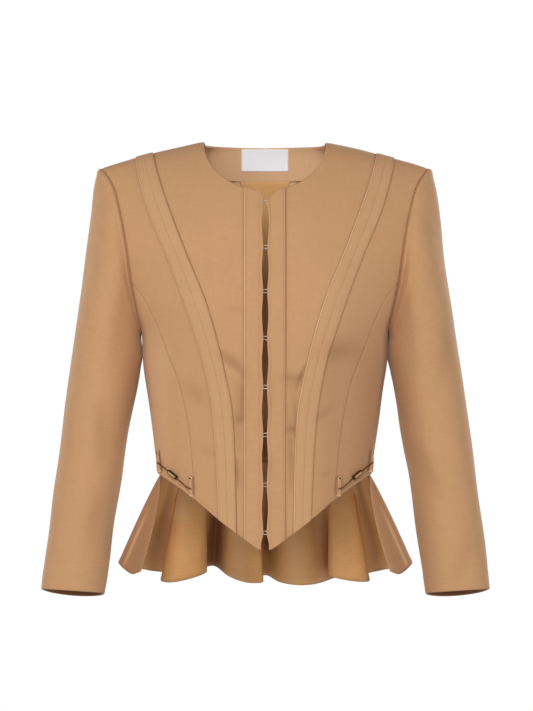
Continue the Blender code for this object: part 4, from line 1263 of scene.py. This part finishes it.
def armhole_ring(inset=0.0, depth=0.0):
    """Points round the armhole, or this far in from it and below the body's outside, from the shoulder
    down the front and up the back."""
    def at(shares, facing):
        found = ARMHOLE(shares)
        up = ease(shares / 0.3)
        angle = np.minimum(found[..., 0], 90) - np.degrees(inset / ARMHOLE_RADIUS) * up
        places = spot_at(angle, found[..., 1] - inset * (1 - up), facing)
        return surface(places, facing) - outward(places, facing) * depth

    front = list(FRONT_ARM_SHARES[:0:-1]) + [PRINCESS_SHARE * (1 - share) for share in SIDE_SPLIT]
    count = len(front)
    steps = np.linspace(0, count - 1, (count - 1) * ARMHOLE_FINE + 1)
    down = at(np.interp(steps, range(count), front), "front")
    up = at(np.interp(steps, range(count), BACK_ARM_SHARES), "back")
    return np.concatenate([down, up[1:]])


def sleeve_ring(row, cosines):
    """Points of one sleeve section at these shares of the way from its inner to its outer edge."""
    _, outer_x, outer_z, inner_x, inner_z, middle, front, back, rise, dip = row
    outer, inner = np.array([outer_x, middle, outer_z]), np.array([inner_x, middle, inner_z])
    ahead = np.arange(len(cosines)) <= len(cosines) // 2
    toward = np.where(ahead[:, None], (0, -front, rise), (0, back, -dip))
    aside = np.sqrt(np.maximum(1 - cosines**2, 0))[:, None]
    return blend(inner, outer, (1 + cosines[:, None]) / 2) + aside * toward


def sleeve_points(ease_out):
    """Points of a sleeve in rings from the armhole to the cuff, its outer edge this much further out."""
    ring = armhole_ring()
    first = SLEEVE_ROWS[0]
    span = np.array([first[1] - first[3], 0, first[2] - first[4]])
    centre = np.array([first[1] + first[3], 0, first[2] + first[4]]) / 2
    held = np.clip((ring - centre) @ span * 2 / (span @ span), -1, 1)
    even = np.cos(2 * np.pi * np.arange(len(ring)) / (len(ring) - 1))
    away = ring - sleeve_ring(first, held)
    table = curve([(i, *row) for i, row in enumerate(SLEEVE_ROWS)])
    steps = np.concatenate([np.linspace(0, 2, 12), np.linspace(2, 6, 40)[1:], np.linspace(6, 12, 96)[1:]])
    rows = [sleeve_ring(r, blend(held, even, r[0])) + (1 - r[0]) * away for r in table(steps)]
    rows[0] = rows[0] + unit(rows[1] - rows[0]) * SLEEVE_GAP
    points = np.array(rows)
    points[:, -1] = points[:, 0]
    x = points[..., 0]
    inner, outer = x.min(axis=1, keepdims=True), x.max(axis=1, keepdims=True)
    below = np.sin(math.pi * np.clip((-0.20 - points[..., 2]) / 0.50, 0, 1))
    points[..., 0] += ease_out * below * (x - inner) / (outer - inner)
    return points


def sleeve_normals(points):
    """Unit normals out of a sleeve, alike where its first and last columns meet."""
    normal = square_to(points)
    normal[:, 0] = normal[:, -1] = np.cross(points[:, 1] - points[:, -2], np.gradient(points, axis=0)[:, 0])
    normal = unit(normal)
    middle = points[:, :-1].mean(axis=1)[:, None]
    return normal * np.sign((normal * (points - middle)).sum())


def build_sleeves(wool):
    for name, side in SIDES.items():
        base = sleeve_points(SLEEVE_EASE[name])
        normal = sleeve_normals(base)
        ahead = ease(0.5 - normal[..., 1] * 1.5)
        far, z = from_edge(base, "foot"), base[..., 2]
        out = creases(base, "sleeve_front", side) * ahead + creases(base, "sleeve_back", side) * (1 - ahead)
        out += uneven(base, side, 0.0006) * ease(far / 0.02)
        out += drawn_in(base, ("foot",), 0.0005, 0.0012) + turned_up(base, "top", CUFF_HEM, 0.0003)
        out += 0.0013 * ease((z + 0.10) / 0.05) * bell(far - 0.006, 0.0042)
        out += 0.0012 * bell(z + 0.268, 0.016) * ease(-normal[..., 0] - 0.2)
        out[:, -1] = out[:, 0]
        turning = [armhole_ring(*row) for row in ARMHOLE_TURNING]
        outer = moved(base, normal, out)
        upper = unit(base[-6] - base[-1])
        inside = [outer[-1] - normal[-1] * deep + upper * up for deep, up, _ in CUFF_TURNING]
        points = np.concatenate([turning, outer, inside])
        points[:, -1] = points[:, 0]
        turned = np.repeat(-normal[-1:], len(inside), axis=0)
        outside = np.concatenate([normal[:1], normal[:1], normal, turned])
        # Painted shade in the armhole seam, on the side toward the body and in creases, a painted highlight
        # on the outer edge, and painted shade inside the cuff's turning.
        shade = seam_shade(base, ("foot",), 0.34, 0.0007)
        shade += SLEEVE_INNER_SHADE[name] * ease(-normal[..., 0] * 1.5 - 0.3)
        shade += crease_shade(base, "sleeve_front", side) * ahead
        shade -= SLEEVE_RIM_HIGHLIGHT[name] * ease((normal[..., 0] - 0.70) / 0.28)
        shade += crease_shade(base, "sleeve_back", side) * (1 - ahead)
        shade[:, -1] = shade[:, 0]
        dark = [np.full(base.shape[1], tone) for _, _, tone in CUFF_TURNING]
        shade = np.concatenate([shade[:1], shade[:1], shade, dark])
        cloth(f"sleeve_{name}", on_side(points, side), on_side(outside, side), SHELL, wool, "gabardine",
              shade, True)


def peplum_hem():
    """The peplum's hem at any share of its length."""
    table = np.array(PEPLUM_ROWS)
    run = np.concatenate([[0], np.cumsum(np.linalg.norm(np.diff(table, axis=0), axis=1))])
    return curve(np.column_stack([run / run[-1], table]).tolist(), rounded=True)


def peplum_points():
    """Points of the peplum, from its hem up to the waist, in columns from right to left."""
    share = np.linspace(0, 1, PEPLUM_COLUMNS)
    up = np.linspace(0, 1, PEPLUM_LINES)[:, None, None]
    angle = np.abs(0.5 - share) * math.pi
    top = surface(spot_at(np.degrees(angle), back_hem(angle) - PEPLUM_SINK, "back"), "back")
    top[:, 0] = np.copysign(top[:, 0] - PEPLUM_TUCK * np.sin(angle) ** 4, share - 0.5)
    hem = peplum_hem()(share)
    growth = (1 - up) ** GROWTH(np.minimum(share, 1 - share))[None]
    points = blend(top[None], hem[None], growth)
    points[..., 2] = blend(top[None, :, 2], hem[None, :, 2], (1 - up)[..., 0])
    return points


def build_peplum(wool, silk):
    base = peplum_points()
    normal = unit(square_to(base))
    if normal[-1, PEPLUM_COLUMNS // 2, 1] < 0:
        normal = -normal
    build_peplum_shell(base, normal, wool)
    build_peplum_lining(base[:, 2:-2], normal[:, 2:-2], silk)


def build_peplum_shell(base, normal, wool):
    """The peplum's gabardine, its top edge turned in behind the back."""
    angle = np.abs(0.5 - np.linspace(0, 1, PEPLUM_COLUMNS)) * math.pi
    places = spot_at(np.degrees(angle), back_hem(angle) + PEPLUM_TURNING["up"], "back")
    turning = surface(places, "back") - outward(places, "back") * PEPLUM_TURNING["in"]
    turning[:, 0] = np.copysign(turning[:, 0], base[-1, :, 0])
    points = moved(base, normal, turned_up(base, "foot", PEPLUM_HEM, 0.0004))
    points = np.concatenate([points, turning[None]])
    outside = np.concatenate([normal, normal[-1:]])
    shade = np.zeros(points.shape[:2])
    high = np.linspace(0, 1, PEPLUM_LINES)[:, None]
    # Painted highlight of a streak of light on each flare, and painted shade over the rest of the wearer's
    # right one.
    inwards = np.arange(FLARE_COLUMNS)
    for name, columns in (("right", inwards), ("left", PEPLUM_COLUMNS - 1 - inwards)):
        bright, dull = FLARE_SHADES[name]
        far = np.abs(base[:, columns, 0])
        turned = inwards[None] < far.argmax(axis=1)[:, None]
        streak = bell(far.max(axis=1, keepdims=True) - 0.0068 - far, 0.0017)
        streak *= ease(high / 0.06) * (1 - ease((high - 0.35) / 0.35))
        shade[:-1, columns] = turned * (dull + (bright - dull) * streak)
    cloth("peplum", points, outside, SHELL, wool, "gabardine",
          shade)


def build_peplum_lining(base, normal, silk):
    """The peplum's lining: painted shade in the flutes, more at the sides and below the fronts, and painted
    highlights on the lobes.
    """
    inner = base - normal * (CLOTH + 2 * SEAM)
    inner[1] = blend(inner[0], inner[1], 0.25)
    far = base[0, :, 0]
    deep = 0.90 + ease((np.abs(far) - 0.12) / 0.02) * np.where(far > 0, 0.66, 0.55)
    deep *= ease((base[0, :, 1] - 0.103) / 0.045)
    x, z = base[1:, :, 0], base[1:, :, 2]
    deep = deep + 0.60 * bell(x, 0.010) * ease((z + 0.550) / 0.025)
    deep = np.maximum(deep, 0.24 * ease((np.abs(normal[1:, :, 0]) - 0.60) / 0.38))
    for middle, low, wide, pale in LINING_HIGHLIGHTS:
        deep -= pale * bell(x - middle, wide) * ease((z - low) / 0.02)
    cloth("peplum_lining", inner[1:], -normal[1:], PEPLUM_LINING, silk, "lining",
          deep)


def across(points):
    """A half that starts at the middle, joined to its mirror image."""
    return np.concatenate([on_side(points, -1)[:, :0:-1], points], axis=1)


def facing_points():
    """Points of the back neck facing."""
    turn = np.linspace(0, 1, 41)
    angle = turn * math.pi / 2
    x = FACING_HALF * np.sin(angle)
    z = blend(shoulder(np.array(FACING_HALF)), FACING_FOOT, np.maximum(np.cos(angle), 0) ** FACING_POWER)
    low = spot(x, np.minimum(z, shoulder(x) - 0.0004), "back")
    top = back_neckline(turn)
    places = blend(low[None], top[None], edged(31)[:, None, None])
    return across(surface(places, "back"))


def lining_points(rows):
    """Points of the back lining."""
    side = back_side_rail(rows, LINING_SHARE, LINING_LIFT)
    middle = inner_rail(spot(0, BACK_HEM + LINING_LIFT, "back"), spot(0, LINING_TOP, "back"), side)
    share = np.linspace(0, 1, 45)
    angle = share * math.pi / 2
    foot = spot_at(np.degrees(angle), back_hem(angle) + LINING_LIFT, "back")
    end = surface(side[-1], "back")
    top = spot(end[0] * share, blend(LINING_TOP, end[2], share * share), "back")
    return across(surface(fill(middle, side, foot, top, share), "back"))


def inside_back(points, depth):
    """Points this far inside the back."""
    return points + normals(points, FORWARD) * depth


def patch_on_back(half, top, foot, columns, rows, middle=0.0):
    """Points of a small rectangle on the inside of the back."""
    x = np.linspace(middle - half, middle + half, columns)[None, :]
    z = np.linspace(foot, top, rows)[:, None]
    x, z = np.broadcast_arrays(x, z)
    points = surface(spot(np.abs(x), z, "back"), "back")
    points[..., 0] *= np.sign(x)
    return points


def build_facing(pale):
    facing = inside_back(facing_points(), INSIDE + 0.0005)
    facing[..., 2] += 0.0004 * ease(1 - from_edge(facing, "top") / 0.004)
    # Its gabardine is a paler copy of the jacket's: painted light that lifts the shaded inside of the neck.
    cloth("back_neck_facing", facing, FORWARD, LINING, pale, "gabardine")


def build_back_lining(bright):
    """The back's lining in soft upright folds, with a painted shadow below the facing at the sides and
    painted shade down toward the waist.
    """
    lining = inside_back(lining_points(LINING_LINES), INSIDE)
    x, z = lining[..., 0], lining[..., 2]
    lining = moved(lining, FORWARD, 0.0006 * np.sin(190 * x) * ease((LINING_TOP - z) / 0.05))
    aside = ease((np.abs(x) - 0.030) / 0.012)
    shade = 0.85 * aside * bell(from_edge(lining, "top"), 0.0036)
    shade = shade + 0.40 * ease((-0.075 - z) / 0.05) + 0.45 * ease((-0.34 - z) / 0.05)
    cloth("back_lining", lining, FORWARD, LINING, bright, "lining",
          shade)


def build_label(white):
    label = patch_on_back(LABEL["half"], LABEL["top"], LABEL["foot"], 41, 21)
    label = inside_back(label, CLOTH + 6 * SEAM + LINING + LABEL["thick"])
    bow = 0.0005 * np.sin(60 * label[..., 0] + 1.0) * np.sin(70 * label[..., 2])
    label = moved(label, FORWARD, bow)
    normal = normals(label, FORWARD)
    cloth("label", label, FORWARD, LABEL["thick"], white, "label")
    for edge in ("left", "right", "top", "foot"):
        sewn_along(label, normal, edge, LABEL_STITCH, "label")


def build_hangers(pale):
    for name, side in SIDES.items():
        tab = patch_on_back(HANGER["half"], HANGER["top"], HANGER["foot"], 13, 25, HANGER["x"])
        tab = inside_back(tab, CLOTH + 3 * SEAM + LINING + HANGER["thick"])
        tab[..., 0] -= HANGER["slant"] * (HANGER["top"] - tab[..., 2])
        near = np.minimum(from_edge(tab, "left"), from_edge(tab, "right"))
        tab = moved(tab, -FORWARD, 0.0005 * bell(near, 0.0012))
        # In the paler copy of the gabardine, painted light, with a painted shadow along the tab's inner and
        # top edges.
        walled(f"hanger_loop_{name}", on_side(tab, side), FORWARD, HANGER["thick"], pale, "gabardine",
               seam_shade(tab, ("left", "top"), 0.7, 0.0010))


def on_front(angle, z, out):
    """Points this far outside the front, at angles in degrees and heights."""
    angle, z = np.broadcast_arrays(np.asarray(angle, float), np.asarray(z, float))
    around = surface(spot_at(angle + 0.5, z)) - surface(spot_at(angle - 0.5, z))
    up = surface(spot_at(angle, z + 0.002)) - surface(spot_at(angle, z - 0.002))
    return moved(surface(spot_at(angle, z)), unit(np.cross(around, up)), np.asarray(out))


def loop_stand(place, turn, up):
    """How far a belt loop stands out, at shares from its front to its rear edge and up it."""
    stand = SEAM + LOOP_THICK + 0.0006 + (LOOP_STAND - 0.0019) * np.sin(np.pi * up) ** 0.6
    twist = SIDE_TWIST * ((1 + turn) / 2) ** 1.2 * (1 - 0.75 * up)
    return stand - 0.0004 * turn**6 + (twist if place == "side" else 0)


def build_loops(wool):
    half = math.degrees(LOOP_HALF / LOOP_RADIUS)
    up, turn = np.linspace(0, 1, 31)[:, None], np.linspace(-1, 1, 11)[None, :]
    for place, (angle, top, foot) in LOOPS.items():
        stand = loop_stand(place, turn, up)
        for name, side in SIDES.items():
            points = on_side(on_front(angle + half * turn, blend(foot, top, up), stand), side)
            normal = normals(points, (side, -1, 0))
            # Painted shade along the loop's edges and a painted highlight at its foot.
            shade = seam_shade(points, ("left",), 0.75 if place == "side" else 0.55, 0.0009)
            shade += (seam_shade(points, ("right", "top"), 0.45, 0.0008)
                      - seam_shade(points, ("foot",), 0.70, 0.0016))
            walled(f"belt_loop_{place}_{name}", points, normal, LOOP_THICK, wool, "gabardine", shade)
            for edge in ("left", "right"):
                sewn_along(points, normal, edge, LOOP_STITCH, "loop")


def build_bars(brass, gold):
    """The side bars, straight on both sides of their slides, and the slides."""
    steps = np.linspace(0, len(BAR_ROWS) - 1, BAR_POINTS)
    route = curve([(i, *row) for i, row in enumerate(BAR_ROWS)])(steps)
    route[:, 2] += BAR_LIFT["out"] * ease((route[:, 0] - BAR_LIFT["from"]) / BAR_LIFT["over"])
    bar = on_front(*route.T)
    slide = np.abs(route[:, 0] - SLIDE_AT[0]).argmin()
    for end in (0, np.abs(route[:, 0] - BAR_ROWS[-2][0]).argmin()):
        part = slice(min(end, slide), max(end, slide) + 1)
        taut = (bar[part, 0] - bar[slide, 0]) / (bar[end, 0] - bar[slide, 0])
        bar[part, 2] = blend(bar[slide, 2], bar[end, 2], taut)
    from_end = np.minimum(np.arange(BAR_POINTS), np.arange(BAR_POINTS)[::-1])
    slim = BAR_TIP + (1 - BAR_TIP) * ease(from_end / 6)
    for name, side in SIDES.items():
        wire(f"side_bar_{name}_metal", [on_side(bar, side)], BAR_RADIUS, brass, "antique_brass",
             [f"side_bar_{name}"], sides=3, slim=slim)
        build_slide(name, side, brass)
        build_plate(name, side, gold)


def eyelet(angle, z, stand, side, radius):
    """Points round the small eyelet at the top of a belt loop."""
    turn = np.linspace(0, 2 * math.pi, EYELET_POINTS)
    aside = np.degrees(radius * np.cos(turn) / LOOP_RADIUS)
    return on_side(on_front(angle + aside, z + radius * np.sin(turn), np.full(EYELET_POINTS, stand)), side)


def build_eyelets(*looks):
    """The eyelets' rings in the paler brass, a painted glint, then their dark centres, painted shade in
    their holes.
    """
    for look, (title, (beside, down, radius, thick)) in zip(looks, EYELETS.items()):
        runs = []
        for side in SIDES.values():
            for place, (angle, top, _) in LOOPS.items():
                stand = float(loop_stand(place, 0.0, 0.92)) + 0.0003
                runs.append(eyelet(angle + beside, top - down, stand, side, radius))
        wire(f"{title}_metal", runs, thick, look, "antique_brass", [])


def slide_turn(side):
    """The slide's own axes, along the bar, across it and out of the front, and its middle."""
    angle, z, stand = SLIDE_AT
    centre = on_front(angle, z, stand)
    lead = on_front(angle + SLIDE_SLOPE[0], z + SLIDE_SLOPE[1], stand)
    along = Vector((lead - centre) * (side, 1, 1)).normalized()
    out = Vector((on_front(angle, z, stand + 0.01) - centre) * (side, 1, 1)).normalized()
    up = out.cross(along).normalized()
    turn = Matrix((along, up, along.cross(up))).transposed().to_4x4()
    return Matrix.Translation(centre * (side, 1, 1)) @ turn


def on_bar(bm, title, side, look, *nodes):
    """A bmesh about the origin, put in its place on the bar as a piece."""
    bmesh.ops.transform(bm, verts=bm.verts, matrix=slide_turn(side))
    bmesh.ops.recalc_face_normals(bm, faces=bm.faces)
    return piece(title, mesh_of(bm, title), look, "antique_brass", *nodes)


def build_slide(name, side, brass):
    """Open-ended frame round the side bar, its corners rounded."""
    length, height, depth, wall = SLIDE
    bm = bmesh.new()
    bmesh.ops.create_cube(bm, size=1)
    ends = [face for face in bm.faces if abs(face.normal.x) > 0.9]
    bmesh.ops.delete(bm, geom=ends, context="FACES_ONLY")
    bmesh.ops.scale(bm, verts=bm.verts, vec=(length, height, depth))
    corners = [edge for edge in bm.edges if abs(edge.verts[0].co.x - edge.verts[1].co.x) > length / 2]
    bmesh.ops.bevel(bm, geom=corners, offset=SLIDE_CORNER, affect="EDGES", segments=4, profile=0.5,
                    material=-1)
    obj = on_bar(bm, f"bar_slide_{name}_metal", side, brass, f"bar_slide_{name}")
    shell = obj.modifiers.new("wall", "SOLIDIFY")
    shell.thickness = wall
    shell.offset = -1
    edges = obj.modifiers.new("edges", "BEVEL")
    edges.width = SLIDE_EDGE
    edges.segments = 2


def build_plate(name, side, gold):
    """Bright plate let into the front of the slide, in a paler copy of the brass: a painted highlight for
    the glint between its rails.
    """
    length, height, depth, _ = SLIDE
    front = depth / 2 if slide_turn(side).to_3x3().col[2].y < 0 else -depth / 2
    size = (length * PLATE_SHARE[0], height * PLATE_SHARE[1], PLATE_THICK)
    bm = bmesh.new()
    bmesh.ops.create_cube(bm, size=1)
    bmesh.ops.scale(bm, verts=bm.verts, vec=size)
    bmesh.ops.bevel(bm, geom=bm.edges[:], offset=SLIDE_EDGE, affect="EDGES", segments=2, profile=0.5,
                    material=-1)
    bmesh.ops.translate(bm, verts=bm.verts, vec=(0, 0, front))
    on_bar(bm, f"slide_plate_{name}_metal", side, gold)


def build_hooks(silver):
    """Hooks on the right front's inside and eyes on the left front's."""
    eyes, hooks = [], []
    for z in HOOK_ROWS:
        inside = surface(spot(np.array(HOOK_SPAN), z + EYE_HALF))[:, 1].max() + CLOTH
        face = inside + HOOK_BEHIND
        upper = [(x, face + deep, z + up) for x, deep, up in EYE_ROUTE]
        lower = [(x, face + deep, z - up) for x, deep, up in EYE_ROUTE[::-1]]
        eyes.append(upper + lower)
        hooks.append([(x, face + deep, z) for x, deep in HOOK_ROUTE])
    numbers = range(1, len(HOOK_ROWS) + 1)
    wire("eyes_metal", eyes, WIRE, silver, "silver_wire", [f"eye_{n}" for n in numbers], "NURBS")
    wire("hooks_metal", hooks, WIRE, silver, "silver_wire", [f"hook_{n}" for n in numbers], "NURBS")


def build_stitches(wool_thread, label_thread):
    rows = STITCHES["wool"] + STITCHES["loop"]
    wire("wool_stitches", rows, THREAD["wool"], wool_thread, "gabardine", [], sides=0)
    wire("label_stitches", STITCHES["label"], THREAD["label"], label_thread, "label", [], sides=0)


def build_lamps():
    for name, (place, size, power) in LAMPS.items():
        data = bpy.data.lights.new(name, "AREA")
        data.shape = "DISK"
        data.size = size
        data.energy = power
        lamp = bpy.data.objects.new(name, data)
        lamp.location = place
        lamp.rotation_euler = (Vector(LAMP_AIM) - Vector(place)).to_track_quat("-Z", "Y").to_euler()
        bpy.context.scene.collection.objects.link(lamp)


def build_floor():
    bm = bmesh.new()
    bmesh.ops.create_grid(bm, x_segments=8, y_segments=8, size=FLOOR["half"])
    bmesh.ops.translate(bm, verts=bm.verts, vec=(0, 0, FLOOR["z"]))
    mesh = mesh_of(bm, "floor")
    floor = bpy.data.objects.new("floor", mesh)
    look, tree, shader = material("pale_floor")
    stops = ((0.3, (0.82, 0.82, 0.82)), (0.7, (0.83, 0.83, 0.83)))
    fit(tree, shader, {"Base Color": ramp(tree, own_noise(tree, 3.0), stops), "Roughness": 0.9})
    mesh.materials.append(look)
    bpy.context.scene.collection.objects.link(floor)


def build_world():
    """White where the camera sees it, and a weak warm light on the jacket."""
    world = bpy.data.worlds.new("studio")
    bpy.context.scene.world = world
    world.use_nodes = True
    tree = world.node_tree
    tree.nodes.clear()
    path = node(tree, "ShaderNodeLightPath", {})
    soft = node(tree, "ShaderNodeBackground", {"Color": (1.0, 0.985, 0.97, 1), "Strength": 0.10})
    white = node(tree, "ShaderNodeBackground", {"Color": (1, 1, 1, 1), "Strength": 1.0})
    inputs = {0: path.outputs["Is Camera Ray"], 1: soft.outputs[0], 2: white.outputs[0]}
    seen = node(tree, "ShaderNodeMixShader", inputs)
    node(tree, "ShaderNodeOutputWorld", {"Surface": seen.outputs[0]})


def build_camera():
    lens = bpy.data.cameras.new("camera")
    lens.sensor_width = SENSOR
    lens.lens = SENSOR * CAMERA["away"] / PICTURE_HIGH
    camera = bpy.data.objects.new("camera", lens)
    camera.location = (CAMERA["x"], -CAMERA["away"], CAMERA["z"])
    camera.rotation_euler = (math.pi / 2, 0, 0)
    scene = bpy.context.scene
    scene.collection.objects.link(camera)
    scene.camera = camera
    scene.view_settings.view_transform = "Standard"
    scene.view_settings.look = "None"


def build_studio():
    build_floor()
    build_world()
    build_lamps()
    build_camera()


build_studio()
CAMEL_TWILL = gabardine("camel_gabardine", (0.500, 0.267, 0.127), (0.620, 0.341, 0.170))
# A paler copy of the camel gabardine, painted light for the shaded inside of the neck.
CAMEL_TWILL_LIT = gabardine("camel_gabardine_painted_light", (0.800, 0.480, 0.260), (0.940, 0.590, 0.335))
GOLDEN_SATIN = satin("golden_lining", (0.570, 0.285, 0.100), (0.720, 0.380, 0.147))
# A paler copy of the golden lining, painted light for the shaded inside of the back.
GOLDEN_SATIN_LIT = satin("golden_lining_painted_light", (0.790, 0.420, 0.155), (0.950, 0.545, 0.230))
WHITE_LABEL = woven_label("white_woven_label", (0.88, 0.88, 0.90), (0.96, 0.96, 0.98))
DARK_BRASS = metal("dark_brass_metal", (0.045, 0.022, 0.008), (0.200, 0.105, 0.040), 0.34, 900.0)
# A paler copy of the antique brass, a painted glint on the slides and eyelets.
BRASS_GLINT = metal("brass_painted_glint_metal", (0.620, 0.400, 0.140), (0.950, 0.720, 0.360), 0.20, 900.0, 0.6)
SILVER = metal("silver_wire_metal", (0.700, 0.690, 0.670), (0.960, 0.950, 0.930), 0.30, 700.0, 0.7)
CAMEL_THREAD = thread("camel_thread", (0.330, 0.180, 0.085), (0.470, 0.275, 0.140))
WHITE_THREAD = thread("white_thread", (0.70, 0.70, 0.72), (0.88, 0.88, 0.90))

build_fronts(CAMEL_TWILL)
build_backs(CAMEL_TWILL)
build_sleeves(CAMEL_TWILL)
build_peplum(CAMEL_TWILL, GOLDEN_SATIN)
build_facing(CAMEL_TWILL_LIT)
build_back_lining(GOLDEN_SATIN_LIT)
build_label(WHITE_LABEL)
build_hangers(CAMEL_TWILL_LIT)
build_loops(CAMEL_TWILL)
build_bars(DARK_BRASS, BRASS_GLINT)
build_eyelets(BRASS_GLINT, DARK_BRASS)
build_hooks(SILVER)
build_stitches(CAMEL_THREAD, WHITE_THREAD)
